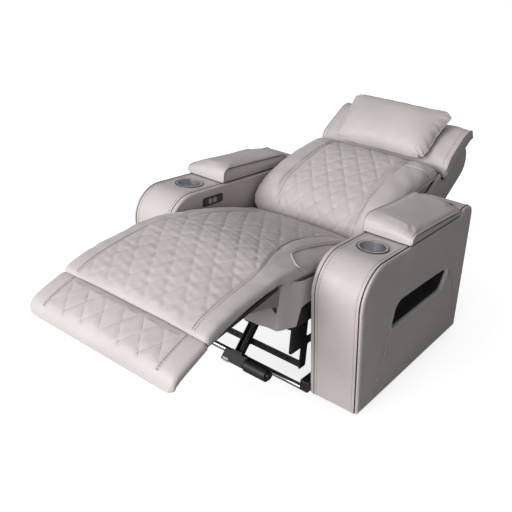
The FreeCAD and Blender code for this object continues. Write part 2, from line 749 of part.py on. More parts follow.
def seat_cushion():
    """Seat cushion: full at the knee, two sewn seams, falling to the rear."""
    low = value("box_top + strap_thick + soft_gap")
    front = value("hinge_front - foot_start - nose_reach")
    rear = value("seat_rear")
    lean = value("seat_lean")
    crest = value("seat_crest")
    sag = crest - value("seat_rear_top")
    half = value("seat_half")
    crown = value("seat_crown")
    wires = []
    for share, undercut, dish, fall, draw in SEAT_STATIONS:
        y = front + (rear - front) * share
        bottom = low + undercut
        top = crest - dish * sag - fall
        arch = min(crown, (top - bottom) / 2)
        slope = lean * share ** 3 / (crest - sag - low)

        def lift(x, z, y=y, slope=slope):
            return Vector(x, y + slope * (z - low), z)
        wires.append(pad_section(lift, half - draw, bottom, top - bottom - arch, arch,
                                 value("seat_seam"), value("seam_notch"), 5, 0.5))
    soft("seat_cushion", wires)


def seat_angle():
    """Slotted steel angle that ties the two seat plates together."""
    body = new_body("seat_angle")
    front, foot = "angle_front", "angle_foot"
    gauge = "angle_gauge"
    pad(body, "YZ_Plane", "-seat_plate_in", "2 * seat_plate_in", [[
        (front, foot), (front + " + angle_leg", foot), (front + " + angle_leg", foot + " + " + gauge),
        (front + " + " + gauge, foot + " + " + gauge),
        (front + " + " + gauge, foot + " + angle_leg"), (front, foot + " + angle_leg")]])
    level = "angle_foot + angle_leg / 2 + angle_gauge / 2"
    slot = pocket(body, "XZ_Plane", "-angle_front - 2 * angle_gauge", "3 * angle_gauge",
                  circles=[("slot_pitch - seat_plate_in", level, "slot_radius")])
    doc.recompute()
    row = body.newObject("PartDesign::LinearPattern", "seat_angle_row")
    row.Originals = [slot]
    row.Direction = (next(item for item in body.Origin.OriginFeatures
                          if item.Role == "X_Axis"), [""])
    run = value("2 * seat_plate_in - 2 * slot_pitch")
    row.Occurrences = int(run / value("slot_pitch")) + 1
    row.Length = (row.Occurrences - 1) * value("slot_pitch")
    body.Tip = row
    face = [along_rail("drive", CRANK, end, "-channel_depth / 2") for end in ("-97", "-120")]
    pad(body, "YZ_Plane", "drive_place - channel_width / 2", "channel_width", [[
        (front, face[0][1]), (front, "angle_foot + angle_gauge"), face[1]]])


# Footrest linkage

def torque_tube():
    """Torque tube with a crank at each end for the footrest and one pair for the drive."""
    body = new_body("torque_tube")
    end = "seat_plate_in + plate_gauge - 0.3"
    pad(body, "YZ_Plane", "-(%s)" % end, "2 * (%s)" % end,
        circles=[("0", "0", "torque_radius")])
    half = "push_width / 2"
    arm_in = "seat_plate_in - plate_gauge - 4 * link_gap"
    turn = "(crank_start * 1deg)"
    for name, side in SIDES:
        start = arm_in if side > 0 else "-(%s) - plate_gauge" % arm_in
        pad(body, "YZ_Plane", start, "plate_gauge", [crank_arm("crank_length", turn)])
        stud(body, -side, "-(%s)" % arm_in, "crank_length * cos(%s)" % turn,
             "crank_length * sin(%s)" % turn, "crank_pin", "plate_gauge + 2 * link_gap",
             "crank_pin + 3")
    angle = "((drive_tilt + 270 - foot_swing / 2) * 1deg)"
    for offset in ("-fork_width / 2 - 1 - plate_gauge", "fork_width / 2 + 1"):
        pad(body, "YZ_Plane", "drive_place + " + offset, "plate_gauge",
            [crank_arm("crank_length", angle)])
    pad(body, "YZ_Plane", "drive_place - fork_width / 2 - 1 - plate_gauge",
        "fork_width + 2 + 2 * plate_gauge", circles=[
            ("crank_length * cos(%s)" % angle, "crank_length * sin(%s)" % angle,
             "drive_pin")])
    place(body, ("0",) + CRANK)


def crank_arm(reach, angle):
    """Tapered arm from the tube's centre to the pin, as a four-sided outline."""
    ends = []
    for along, across in (("-16", "-17"), (reach + " + 11", "-11"),
                          (reach + " + 11", "11"), ("-16", "17")):
        ends.append(("(%s) * cos(%s) - (%s) * sin(%s)" % (along, angle, across, angle),
                     "(%s) * sin(%s) + (%s) * cos(%s)" % (along, angle, across, angle),
                     "10"))
    return ends


def push_link(name, side):
    """Push link from a crank pin to the footrest bracket, parallel to the pivot line."""
    length = "sqrt(crank_back * crank_back + crank_drop * crank_drop)"
    turn = "(crank_start * 1deg)"
    inner = "seat_plate_in - 2 * plate_gauge - 5 * link_gap"
    body = new_body("push_link_" + name)
    start = inner if side > 0 else "-(%s) - plate_gauge" % inner
    hole = "crank_pin + pin_play"
    link_plate(body, start, length, "push_width", hole, hole + " + open_play")
    place(body, ("0", CRANK[0] + " + crank_length * cos(%s)" % turn,
                 CRANK[1] + " + crank_length * sin(%s)" % turn),
          "atan(crank_back / crank_drop)")


def foot_bracket(name, side):
    """Bracket plate that hangs the footrest board on its hinge, with the push pin."""
    body = new_body("foot_bracket_" + name)
    inner = "seat_plate_in - plate_gauge - 4 * link_gap"
    start = inner if side > 0 else "-(%s) - plate_gauge" % inner
    turn = "((crank_start - foot_tilt) * 1deg)"
    pin = ("crank_length * cos(%s)" % turn, "crank_length * sin(%s)" % turn)
    pad(body, "YZ_Plane", start, "plate_gauge", [[
        ("-150", "foot_board_level", "4"), ("-150", "foot_board_level - 16", "4"),
        (pin[0] + " - 18", pin[1] + " - 14", "10"), ("-4", "-14", "12"), ("14", "-14", "12"),
        ("14", "14", "12"), ("-20", "foot_board_level", "4")]],
        circles=[("0", "0", "stud_radius + pin_play")])
    stud(body, -side, "-(%s)" % inner, pin[0], pin[1], "crank_pin", "plate_gauge + 2 * link_gap",
         "crank_pin + 3")
    place(body, ("0",) + HINGE, "foot_tilt")


def foot_board():
    body = new_body("foot_board")
    pad(body, "XY_Plane", "foot_board_level", "foot_board", [
        rectangle("26 - foot_half", "4 - foot_length", "foot_half - 26", "-foot_start - 12",
                  "12")])
    place(body, ("0",) + HINGE, "foot_tilt")


def flap_pivot():
    """Place of the flap's piano hinge in the tilted footrest frame, turned to the floor frame."""
    along = "(-foot_length)"
    up = "(foot_board_level - flap_pivot_drop)"
    turn = "(foot_tilt * 1deg)"
    return ("0", "hinge_front + %s * cos(%s) - %s * sin(%s)" % (along, turn, up, turn),
            "hinge_level + %s * sin(%s) + %s * cos(%s)" % (along, turn, up, turn))


def flap_board():
    body = new_body("flap_board")
    pad(body, "XY_Plane", "flap_pivot_drop", "foot_board", [
        rectangle("26 - foot_half", "14 - flap_length", "foot_half - 26", "-8", "12")])
    place(body, flap_pivot(), "foot_tilt + flap_tilt")


# Share of the length, drawn-in side, height of the side, crown
FOOT_STATIONS = (
    (0, 4, 46, 26), (0.03, 1, 50, 29), (0.25, 0, 51, 25), (0.5, 0, 54, 16), (0.7, 0, 56, 7),
    (0.86, 0, 50, 3), (0.96, 1, 40, 2), (1, 4, 33, 2),
)
FLAP_STATIONS = (
    (0, 4, 28, 2), (0.04, 1, 32, 2), (0.3, 0, 36, 3), (0.65, 0, 37, 3), (0.88, 1, 31, 2),
    (0.96, 4, 23, 2), (1, 9, 13, 2),
)


def soft_slab(label, stations, start, stop, low, lean_start, lean_stop, where, tilt):
    """Padded slab along local -Y with mitred ends, drawn-in sides and two seams."""
    half = value("foot_half")
    base = value(low)
    rise = value("foot_pad")
    first, last = value(start), value(stop)
    wires = []
    for share, draw, high, crown in stations:
        shift = value(lean_start) * (1 - share) + value(lean_stop) * share

        def lift(x, z, share=share, shift=shift):
            y = first + (last - first) * share + shift * (z - base) / rise
            return Vector(x, y, z)
        grow = rise / FOOT_STATIONS[-1][2]
        wires.append(pad_section(lift, half - draw, base, high * grow, crown * grow,
                                 value("seat_seam"), value("seam_notch") * 0.8, 3, 0.6))
    soft(label, wires, where, tilt)


def foot_pads():
    soft_slab("foot_pad", FOOT_STATIONS, "-foot_start", "1 - foot_length",
              "foot_board_level + foot_board", "0", "1 - mitre", ("0",) + HINGE, "foot_tilt")
    soft_slab("flap_pad", FLAP_STATIONS, "-1", "-flap_length", "flap_pivot_drop + foot_board",
              "mitre - 1", "0", flap_pivot(), "foot_tilt + flap_tilt")


def knuckles(count, first):
    """Alternate knuckles of a piano hinge, as start and length along X."""
    span = "(2 * (foot_half - 40) / 9)"
    for i in range(count):
        yield "40 - foot_half + %d * %s + 0.4" % (2 * i + first, span), span + " - 0.8"


def foot_hinge():
    """Footrest leaf of the piano hinge, with its fixed pin."""
    body = new_body("foot_hinge")
    leaf = "flap_pivot_drop - 1.6"
    pad(body, "YZ_Plane", "40 - foot_half", "2 * (foot_half - 40)", circles=[
        ("0", "0", "flap_pin")])
    for start, length in knuckles(5, 0):
        pad(body, "YZ_Plane", start, length, [[
            ("-1", leaf + " - 2"), ("-1", "1"), ("4", "1"), ("10", leaf),
            ("36", leaf), ("36", "flap_pivot_drop"), ("6", "flap_pivot_drop"), ("2", leaf)]])
        pad(body, "YZ_Plane", start, length, circles=[("0", "0", "flap_barrel - 1")])
    place(body, flap_pivot(), "foot_tilt")


def flap_hinge():
    """Flap leaf of the piano hinge."""
    body = new_body("flap_hinge")
    leaf = "flap_pivot_drop - 1.6"
    pad(body, "XY_Plane", leaf, "1.6", [
        rectangle("40 - foot_half", "-36", "foot_half - 40", "-6")])
    for start, length in knuckles(4, 1):
        pad(body, "YZ_Plane", start, length, [[
            ("-12", leaf), ("-2", "-1"), ("1", "-1"), ("1", "flap_barrel - 1"),
            ("-6", "flap_pivot_drop"), ("-12", "flap_pivot_drop")]])
        pad(body, "YZ_Plane", start, length, circles=[("0", "0", "flap_barrel - 1")])
    pocket(body, "YZ_Plane", "-foot_half", "2 * foot_half", circles=[
        ("0", "0", "flap_pin + pin_play")])
    place(body, flap_pivot(), "foot_tilt + flap_tilt")


# Actuators: motor, gear housing and rail are one unit, the carriage slides on the rail

def along_rail(key, centre, along="0", lift="0"):
    """Place on a rail: along it from the middle of the travel, and off it towards the crank."""
    turn = "(%s_tilt * 1deg)" % key
    away = "(%s_reach - (%s))" % (key, lift)
    return ("%s + %s * sin(%s) + (%s) * cos(%s)" % (centre[0], away, turn, along, turn),
            "%s - %s * cos(%s) + (%s) * sin(%s)" % (centre[1], away, turn, along, turn))


def actuator(label, key, centre, side, lug):
    """Gear housing, motor can, channel rail with its screw: tilted along the rail."""
    where = (key + "_place",) + along_rail(key, centre)
    tilt = key + "_tilt"
    stem, head = key + "_stem", key + "_head"
    half, deep = "channel_width / 2", "channel_depth / 2"
    rail = new_body(label + "_rail")
    wall = "channel_wall"
    channel = [("-" + half, "-" + deep), (half, "-" + deep), (half, deep),
               (half + " - " + wall, deep), (half + " - " + wall, "%s - %s" % (wall, deep)),
               ("%s - %s" % (wall, half), "%s - %s" % (wall, deep)),
               ("%s - %s" % (wall, half), deep), ("-" + half, deep)]
    run = "%s + %s - gear_boss" % (stem, head)
    pad(rail, "XZ_Plane", "-(%s)" % head, run, [channel])
    pad(rail, "XZ_Plane", "-(%s)" % head, "6", [
        rectangle("-" + half, "-" + deep, half, deep)])
    pad(rail, "XZ_Plane", "-(%s)" % head, run, circles=[("0", "0", "screw_radius")])
    place(rail, where, tilt)
    gear = new_body(label + "_motor")
    wide = "gear_wide / 2"
    pad(gear, "XZ_Plane", stem, "gear_long", [
        rectangle("-(%s)" % wide, "-gear_high / 2", wide, "gear_high / 2", "7")])
    pad(gear, "XZ_Plane", "%s - gear_boss" % stem, "gear_boss", [
        rectangle("-(%s) * 0.5" % wide, "-gear_high / 2 + 2", wide + " * 0.5",
                  "gear_high / 2 - 2", "4")])
    start = wide if side > 0 else "-(%s) - motor_length" % wide
    pad(gear, "YZ_Plane", start, "motor_length", circles=[
        ("-(%s) - gear_long / 2" % stem, "0", "motor_radius")])
    cap = "(%s) + motor_length" % wide if side > 0 else "-(%s) - motor_length - 8" % wide
    pad(gear, "YZ_Plane", cap, "8", circles=[
        ("-(%s) - gear_long / 2" % stem, "0", "motor_radius * 0.6")])
    if lug:
        end = "(-(%s) - gear_long)" % stem
        pad(gear, "YZ_Plane", "-lug_reach", "2 * lug_reach", [[
            (end + " + 2", "-lug_reach"), (end + " - 2 * lug_reach", "-lug_reach", "lug_reach - 1"),
            (end + " - 2 * lug_reach", "lug_reach", "lug_reach - 1"), (end + " + 2", "lug_reach")]],
            circles=[(end + " - lug_reach", "0", "seat_tube_radius + pin_play")])
    place(gear, where, tilt)


def carriage(label, key, centre, radius, swing):
    """Nut block in the rail with a slotted fork that drives the crank pin."""
    body = new_body(label + "_carriage")
    half = "(channel_width / 2 - channel_wall - slide_play)"
    pad(body, "XZ_Plane", "-nut_long / 2", "nut_long", [
        rectangle("-" + half, "channel_wall - channel_depth / 2 + slide_play", half,
                  "channel_depth / 2 - 1")])
    low = "%s_reach - %s" % (key, radius)
    high = "%s_reach - %s * cos(%s / 2 * 1deg)" % (key, radius, swing)
    start = "-%s * sin(%s / 2 * 1deg)" % (radius, swing)
    pad(body, "YZ_Plane", "-fork_width / 2", "fork_width", [
        rectangle("-nut_long / 2 + 1", "0", "nut_long / 2 - 1", high + " + 22", "8")])
    pocket(body, "YZ_Plane", "-fork_width", "2 * fork_width", [
        rectangle("-fork_slot", low + " - fork_slot", "fork_slot", high + " + fork_slot + 2",
                  "fork_slot - 0.4")])
    pocket(body, "XZ_Plane", "-40", "80", circles=[("0", "0", "screw_radius + pin_play")])
    place(body, (key + "_place",) + along_rail(key, centre, start), key + "_tilt")


# Back: local Z runs up the back and local -Y is its front

BACK_PLACE = ("0",) + BACK


def back_frame():
    """Wooden back frame: two stepped side rails and three cross boards."""
    body = new_body("back_frame")
    rail = [
        ("back_front", "20", "6"), ("back_rear", "20", "6"),
        ("back_rear", "back_top - 40", "40"), ("back_rear - 40", "back_top", "10"),
        ("back_set", "back_top", "6"), ("back_set", "back_split - 10", "6"),
        ("back_front", "back_split - 10", "6")]
    pad(body, "YZ_Plane", "back_half - back_rail", "back_rail", [rail])
    for low, front in (("board_one", "back_front + 14"), ("board_two", "back_front + 14"),
                       ("board_four", "back_front + 14"), ("board_top", "back_set + 4")):
        pad(body, "XY_Plane", low, "board_high", [
            rectangle("-back_half", front, "back_half", "back_rear - 26")])
    pad(body, "YZ_Plane", "-back_half", "back_rail", [rail])
    slot = "seat_plate_in + plate_gauge + link_gap"
    for start in (slot, "-(%s) - plate_gauge" % slot):
        pocket(body, "YZ_Plane", start, "plate_gauge", [
            rectangle("back_front", "20", "back_front + 85", "130")])
    place(body, BACK_PLACE, "-recline")


def back_hinge(name, side):
    """Hinge plate screwed inside the back frame's side rail."""
    body = new_body("back_hinge_" + name)
    inner = "seat_plate_in + plate_gauge + link_gap"
    start = inner if side > 0 else "-(%s) - plate_gauge" % inner
    pad(body, "YZ_Plane", start, "plate_gauge", [[
        ("-15", "-15", "13"), ("15", "-15", "13"), ("90", "40", "10"), ("90", "120", "10"),
        ("26", "120", "10"), ("26", "32", "8"), ("-15", "14", "12")]],
        circles=[("0", "0", "back_pin + pin_play")])
    place(body, BACK_PLACE, "-recline")


def back_shell():
    """Upholstered rear shell, closed at the back, top and sides."""
    body = new_body("back_shell")
    wall = "shell_wall"
    rear = "back_rear + " + wall
    wide = "back_half + " + wall
    pad(body, "YZ_Plane", "-(%s)" % wide, "2 * (%s)" % wide, [[
        (rear, "shell_foot", "20"), (rear, "shell_top - 60", "40"),
        (rear + " - 62", "shell_top", "26"), ("shell_set", "shell_top - 30", "8"),
        ("shell_set", "40", "20"), ("shell_set + 40", "shell_foot", "12")]])
    pocket(body, "YZ_Plane", "-back_half", "2 * back_half", [[
        ("back_rear", "2 * shell_foot"), ("back_rear", "back_top - 40", "40"),
        ("back_rear - 40", "back_top", "10"), ("0", "back_top"), ("0", "2 * shell_foot")]])
    place(body, BACK_PLACE, "-recline")


def back_crank():
    """Crank cheeks under the back frame that the back actuator swings."""
    body = new_body("back_crank_arm")
    turn = "((back_crank_start + recline) * 1deg)"
    pin = ("back_crank * cos(%s)" % turn, "back_crank * sin(%s)" % turn)
    for offset in ("-fork_width / 2 - 1 - plate_gauge", "fork_width / 2 + 1"):
        pad(body, "YZ_Plane", "back_place + " + offset, "plate_gauge", [[
            ("back_front + 20", "24"), (pin[0] + " - 12", pin[1] + " - 10", "9"),
            (pin[0] + " + 12", pin[1] + " - 10", "9"), ("back_front + 90", "24")]])
    pad(body, "YZ_Plane", "back_place - fork_width / 2 - 1 - plate_gauge",
        "fork_width + 2 + 2 * plate_gauge", circles=[pin + ("drive_pin",)])
    place(body, BACK_PLACE, "-recline")


# Height up the back, underside and front measured forward, drawn-in side
BACK_STATIONS = (
    (-42, 84, 104, 24), (-34, 66, 120, 10), (-20, 46, 138, 3), (0, 32, 151, 0),
    (24, 22, 162, 0), (50, -10, 172, 0), (75, -10, 178, 0), (120, -10, 174, 0),
    (189, -10, 160, 0), (250, -10, 142, 0), (317, -10, 121, 1), (370, -10, 98, 3),
    (398, -10, 76, 6), (416, -10, 50, 11), (432, -10, 24, 18),
)
FULL_BACK = 142


def back_cushion():
    """Back cushion: full lumbar roll, raised side bolsters, two seams, sloped top."""
    half = value("cushion_half")
    grow = value("cushion_front") / FULL_BACK
    crown = value("back_crown")
    wires = []
    for up, rear, front, draw in BACK_STATIONS:
        depth = front * grow - rear
        arch = min(crown, depth * 0.4)

        def lift(x, out, up=up):
            return Vector(x, -out, up)
        wires.append(pad_section(lift, half - draw, rear, depth - arch, arch,
                                 value("back_seam"), value("seam_notch"), 8, 0.95))
    soft("back_cushion", wires, BACK_PLACE, "-recline")


# Headrest and pillow

def head_bracket(name, side):
    """Bracket plate on the back frame that carries a pivot of the headrest."""
    body = new_body("head_bracket_" + name)
    start = "head_place" if side > 0 else "-head_place - plate_gauge"
    up, back = "head_pivot_up", "head_pivot_back"
    pad(body, "YZ_Plane", start, "plate_gauge", [[
        (back + " - 11", "board_four + board_high"), ("back_rear - 40", "board_four + board_high"),
        (back + " + 14", up + " + 12", "9"), (back + " - 11", up + " + 12", "9")]],
        circles=[(back, up, "head_pin + pin_play")])
    place(body, BACK_PLACE, "-recline")


def head_board():
    """Headrest board with two ears and their pivot studs."""
    body = new_body("head_board")
    back = "head_board_back"
    pad(body, "XZ_Plane", "-(%s)" % back, "board_thick", [
        rectangle("-head_place - 40", "head_pivot_up + 18", "head_place + 40",
                  "head_top - 40", "20")])
    for name, side in SIDES:
        face = "head_place - link_gap - plate_gauge"
        start = face if side > 0 else "-(%s) - plate_gauge" % face
        pad(body, "YZ_Plane", start, "plate_gauge", [[
            (back, "head_pivot_up + 90", "4"), (back + " - 4", "head_pivot_up + 90"),
            ("head_pivot_back - 11", "head_pivot_up - 11", "9"),
            ("head_pivot_back + 11", "head_pivot_up - 11", "9"),
            ("head_pivot_back + 11", "head_pivot_up + 30", "8")]])
        outer = face + " + plate_gauge"
        stud(body, side, outer, "head_pivot_back", "head_pivot_up", "head_pin",
             "plate_gauge + 2 * link_gap", "head_pin + 3")
    place(body, BACK_PLACE, "-recline")


# Share of the height, rear and front measured forward, drawn-in side
HEAD_STATIONS = (
    (0, -40, -14, 14), (0.05, -45.7, 4, 4), (0.3, -45.7, 23.5, 0), (0.6, -45.7, 24, 0),
    (0.86, -45.7, 12, 0), (0.95, -54, -8, 3), (1, -62, -34, 10),
)


def head_pad():
    """Headrest pad, curling back over the shell at its top."""
    half = value("head_half")
    foot, top = value("head_foot"), value("head_top")
    wires = []
    for share, rear, front, draw in HEAD_STATIONS:
        up = foot + (top - foot) * share
        depth = front - rear

        def lift(x, out, up=up):
            return Vector(x, -out, up)
        wires.append(pad_section(lift, half - draw, rear, depth * 0.8, depth * 0.2,
                                 value("head_seam"), 1, 8, 0.7))
    soft("head_pad", wires, BACK_PLACE, "-recline")


def pillow():
    """Loose head pillow: plump in the middle, pinched along its seam and at its corners."""
    half = value("pillow_half")
    low, high = value("pillow_foot"), value("pillow_top")
    seam = value("pillow_seam")
    crown = value("pillow_crown")
    middle, tall = (low + high) / 2, (high - low) / 2
    wires = []
    for share, plump, short in ((-1, 0.12, 0.0), (-0.94, 0.42, 3), (-0.8, 0.72, 6),
                                (-0.45, 0.96, 7), (0, 1, 7), (0.45, 0.96, 7),
                                (0.8, 0.72, 6), (0.94, 0.42, 3), (1, 0.12, 0.0)):
        x = half * share
        reach = tall - short

        def lift(up, out, x=x):
            return Vector(x, -(seam + out), middle + up)
        front = crown * plump
        rear = -crown * plump * 0.9
        start = lift(-reach, 1)
        steps = [
            start,
            (lift(-reach * 0.72, front * 0.72), lift(-reach * 0.4, front * 0.93)),
            (lift(0, front), lift(reach * 0.4, front * 0.93)),
            (lift(reach * 0.72, front * 0.72), lift(reach, 1)),
            (lift(reach, -1),),
            (lift(reach * 0.72, rear * 0.72), lift(reach * 0.4, rear * 0.93)),
            (lift(0, rear), lift(-reach * 0.4, rear * 0.93)),
            (lift(-reach * 0.72, rear * 0.72), lift(-reach, -1)),
            (start,),
        ]
        wires.append(spring_line(steps))
    soft("pillow", wires, BACK_PLACE, "-recline")


# Controls on the inside of the left arm

def control_spot(column):
    """Centre of a square button along the panel, counted from the rear end."""
    return ("arm_front + control_front + control_length - 20 - %d * button_pitch" % column,
            "glide_rise + control_level + control_height / 2")


def control_bezel():
    """Moulded bezel of the control panel with a window for each button."""
    body = new_body("control_bezel")
    pad(body, "YZ_Plane", "0", "control_thick", [control_rectangle("-0.3")])
    middle = "control_level + control_height / 2"
    gap = "button_gap"
    for column in range(3):
        spot = "control_front + control_length - 20 - %d * button_pitch" % column
        half = "button_size / 2 + " + gap
        pocket(body, "YZ_Plane", "bezel_floor", "2 * control_thick", [
            rectangle("%s - (%s)" % (spot, half), "%s - (%s)" % (middle, half),
                      "%s + (%s)" % (spot, half), "%s + (%s)" % (middle, half), "3")])
    pocket(body, "YZ_Plane", "bezel_floor", "2 * control_thick", circles=[
        ("control_front + 16", middle, "power_radius + " + gap)])
    place(body, ("-seat_gap / 2 - control_thick + control_proud", "arm_front", "glide_rise"))


def buttons():
    names = ("recline_button", "upright_button", "headrest_button")
    base = "-seat_gap / 2 - control_thick + control_proud + bezel_floor + button_travel + 0.2"
    height = "control_thick - bezel_floor - button_travel - 0.2 + button_proud"
    for column, label in enumerate(names):
        body = new_body(label)
        half = "button_size / 2"
        pad(body, "YZ_Plane", "0", height, [
            rectangle("-" + half, "-" + half, half, half, "3 - button_gap")])
        place(body, (base,) + control_spot(column))
    body = new_body("power_button")
    pad(body, "YZ_Plane", "0", height, circles=[("0", "0", "power_radius")])
    place(body, (base, "arm_front + control_front + 16",
                 "glide_rise + control_level + control_height / 2"))


def main():
    for name, side in SIDES:
        arm_cover(name, side)
        arm_panel_outer(name, side)
        arm_panel_inner(name, side)
        cup_holder(name, side)
        storage_bin(name, side)
        lid_pad(name, side)
        lid_board(name, side)
        base_side(name, side)
        seat_plate(name, side)
    pair("arm_frames", arm_frame)
    pair("side_pockets", side_pocket)
    pair("lid_hinges", lid_hinge)
    control_bezel()
    buttons()
    glides()
    cross_tube("front_cross_tube", "tube_front", "tube_level", "tube_radius", PLATE_IN)
    cross_tube("rear_cross_tube", "tube_rear", "rail_foot + rail_height / 2", "tube_radius",
               PLATE_IN)
    lug = along_rail("back", BACK, "-back_stem - gear_long - lug_reach")
    cross_tube("seat_tube", lug[0], lug[1], "seat_tube_radius", "seat_plate_in")
    swing_links("front")
    swing_links("rear")
    seat_box()
    seat_straps()
    seat_cushion()
    seat_angle()
    torque_tube()
    pair("push_links", push_link)
    pair("foot_brackets", foot_bracket)
    foot_board()
    foot_hinge()
    flap_hinge()
    flap_board()
    foot_pads()
    actuator("drive", "drive", CRANK, 1, False)
    carriage("drive", "drive", CRANK, "crank_length", "foot_swing")
    actuator("back", "back", BACK, -1, True)
    carriage("back", "back", BACK, "back_crank", "back_swing")
    back_frame()
    back_shell()
    back_crank()
    back_cushion()
    pair("back_hinges", back_hinge)
    pair("head_brackets", head_bracket)
    head_board()
    head_pad()
    pillow()


def write_parts():
    doc.recompute()
    for item in doc.Objects:
        if "Invalid" in item.State or "Error" in item.State:
            raise RuntimeError("failed: %s %s" % (item.Label, item.State))
    for item in parts:
        shape = item.Shape
        if shape.isNull() or not shape.isValid():
            raise RuntimeError("bad shape: " + item.Label)
    os.makedirs("parts", exist_ok=True)
    for item in parts:
        item.Shape.exportStep("parts/%s.step" % item.Label)
        print("%-24s %9.1f cm3, %d solids" % (item.Label, item.Shape.Volume / 1000,
                                              len(item.Shape.Solids)))


main()
write_parts()
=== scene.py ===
import bmesh
import bpy
import json
import math
import numpy as np
from mathutils import Matrix, Vector
from mathutils.bvhtree import BVHTree


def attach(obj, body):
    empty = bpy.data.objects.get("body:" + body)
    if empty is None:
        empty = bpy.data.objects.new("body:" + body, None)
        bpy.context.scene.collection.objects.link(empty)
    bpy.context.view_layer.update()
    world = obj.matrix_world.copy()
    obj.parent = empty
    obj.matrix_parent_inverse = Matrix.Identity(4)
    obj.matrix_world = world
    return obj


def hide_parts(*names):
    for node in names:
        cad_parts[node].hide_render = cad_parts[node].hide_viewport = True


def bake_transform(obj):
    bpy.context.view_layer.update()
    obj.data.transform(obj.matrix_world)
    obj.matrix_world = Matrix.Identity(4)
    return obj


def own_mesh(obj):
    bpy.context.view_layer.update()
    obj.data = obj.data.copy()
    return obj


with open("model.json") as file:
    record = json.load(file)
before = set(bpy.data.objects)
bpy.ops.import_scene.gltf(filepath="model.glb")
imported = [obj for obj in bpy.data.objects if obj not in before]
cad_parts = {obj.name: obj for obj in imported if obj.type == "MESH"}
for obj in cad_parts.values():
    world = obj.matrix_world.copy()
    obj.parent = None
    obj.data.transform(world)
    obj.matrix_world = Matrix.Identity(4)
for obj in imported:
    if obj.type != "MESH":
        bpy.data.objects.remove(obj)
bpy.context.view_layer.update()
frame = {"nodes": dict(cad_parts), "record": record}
NODES = frame["nodes"]
MM = 0.001
FRAMES = 20


# Materials

def add_node(tree, kind, operation=None, **values):
    """A new shader node with the named input values."""
    node = tree.nodes.new(kind)
    if operation:
        node.operation = operation
    for key, value in values.items():
        node.inputs[key].default_value = value
    return node


def blank(name):
    """A new material with an empty node tree."""
    material = bpy.data.materials.new(name)
    material.use_nodes = True
    material.node_tree.nodes.clear()
    return material, material.node_tree


def node_tree(name):
    """A new material with its output and Principled shader."""
    material, tree = blank(name)
    output = add_node(tree, "ShaderNodeOutputMaterial")
    shader = add_node(tree, "ShaderNodeBsdfPrincipled")
    tree.links.new(shader.outputs["BSDF"], output.inputs["Surface"])
    return material, tree, shader


def texture(tree, kind, scale, **values):
    node = add_node(tree, kind, Scale=scale, **values)
    place = add_node(tree, "ShaderNodeTexCoord")
    tree.links.new(place.outputs["Object"], node.inputs["Vector"])
    return node


def ramp(tree, source, low, high):
    """Colour that runs from low to high over the middle of a texture."""
    node = add_node(tree, "ShaderNodeValToRGB")
    tree.links.new(source, node.inputs["Fac"])
    for stop, position, color in zip(node.color_ramp.elements, (0.3, 0.7), (low, high)):
        stop.position, stop.color = position, (*color, 1)
    return node.outputs["Color"]


def bump(tree, source, strength, distance, below=None):
    node = add_node(tree, "ShaderNodeBump", Strength=strength, Distance=distance)
    tree.links.new(source, node.inputs["Height"])
    if below is not None:
        tree.links.new(below, node.inputs["Normal"])
    return node.outputs["Normal"]


def tone(color, factor):
    return tuple(min(1.0, channel * factor) for channel in color)


def leather(name, color, rough=0.46):
    """Corrected-grain upholstery leather: fine pebble, slow tone changes, soft sheen."""
    material, tree, shader = node_tree(name)
    cloud = texture(tree, "ShaderNodeTexNoise", 5.0, Detail=5.0, Roughness=0.55)
    shade = ramp(tree, cloud.outputs["Fac"], tone(color, 0.93), tone(color, 1.05))
    tree.links.new(shade, shader.inputs["Base Color"])
    pebble = texture(tree, "ShaderNodeTexVoronoi", 620.0)
    crease = texture(tree, "ShaderNodeTexNoise", 60.0, Detail=6.0, Roughness=0.7)
    wave = texture(tree, "ShaderNodeTexNoise", 9.0, Detail=2.0)
    normal = bump(tree, wave.outputs["Fac"], 0.5, 0.004)
    normal = bump(tree, crease.outputs["Fac"], 0.35, 0.0008, normal)
    normal = bump(tree, pebble.outputs["Distance"], 0.25, 0.0004, normal)
    tree.links.new(normal, shader.inputs["Normal"])
    patch = texture(tree, "ShaderNodeTexNoise", 30.0, Detail=3.0)
    gloss = ramp(tree, patch.outputs["Fac"], (rough - 0.05,) * 3, (rough + 0.07,) * 3)
    tree.links.new(gloss, shader.inputs["Roughness"])
    shader.inputs["Specular IOR Level"].default_value = 0.38
    shader.inputs["Sheen Weight"].default_value = 0.08
    shader.inputs["Sheen Roughness"].default_value = 0.5
    return material


def simple(name, color, rough, metallic=0.0, grain=300.0, depth=0.0002, wear=0.12):
    """Plastic, paint or metal with fine surface grain and slight wear."""
    material, tree, shader = node_tree(name)
    cloud = texture(tree, "ShaderNodeTexNoise", 14.0, Detail=6.0, Roughness=0.6)
    shade = ramp(tree, cloud.outputs["Fac"], tone(color, 1 - wear), tone(color, 1 + wear))
    tree.links.new(shade, shader.inputs["Base Color"])
    skin = texture(tree, "ShaderNodeTexNoise", grain, Detail=3.0)
    tree.links.new(bump(tree, skin.outputs["Fac"], 0.3, depth), shader.inputs["Normal"])
    gloss = ramp(tree, cloud.outputs["Fac"], (rough * 0.85,) * 3, (min(1, rough * 1.15),) * 3)
    tree.links.new(gloss, shader.inputs["Roughness"])
    shader.inputs["Metallic"].default_value = metallic
    return material


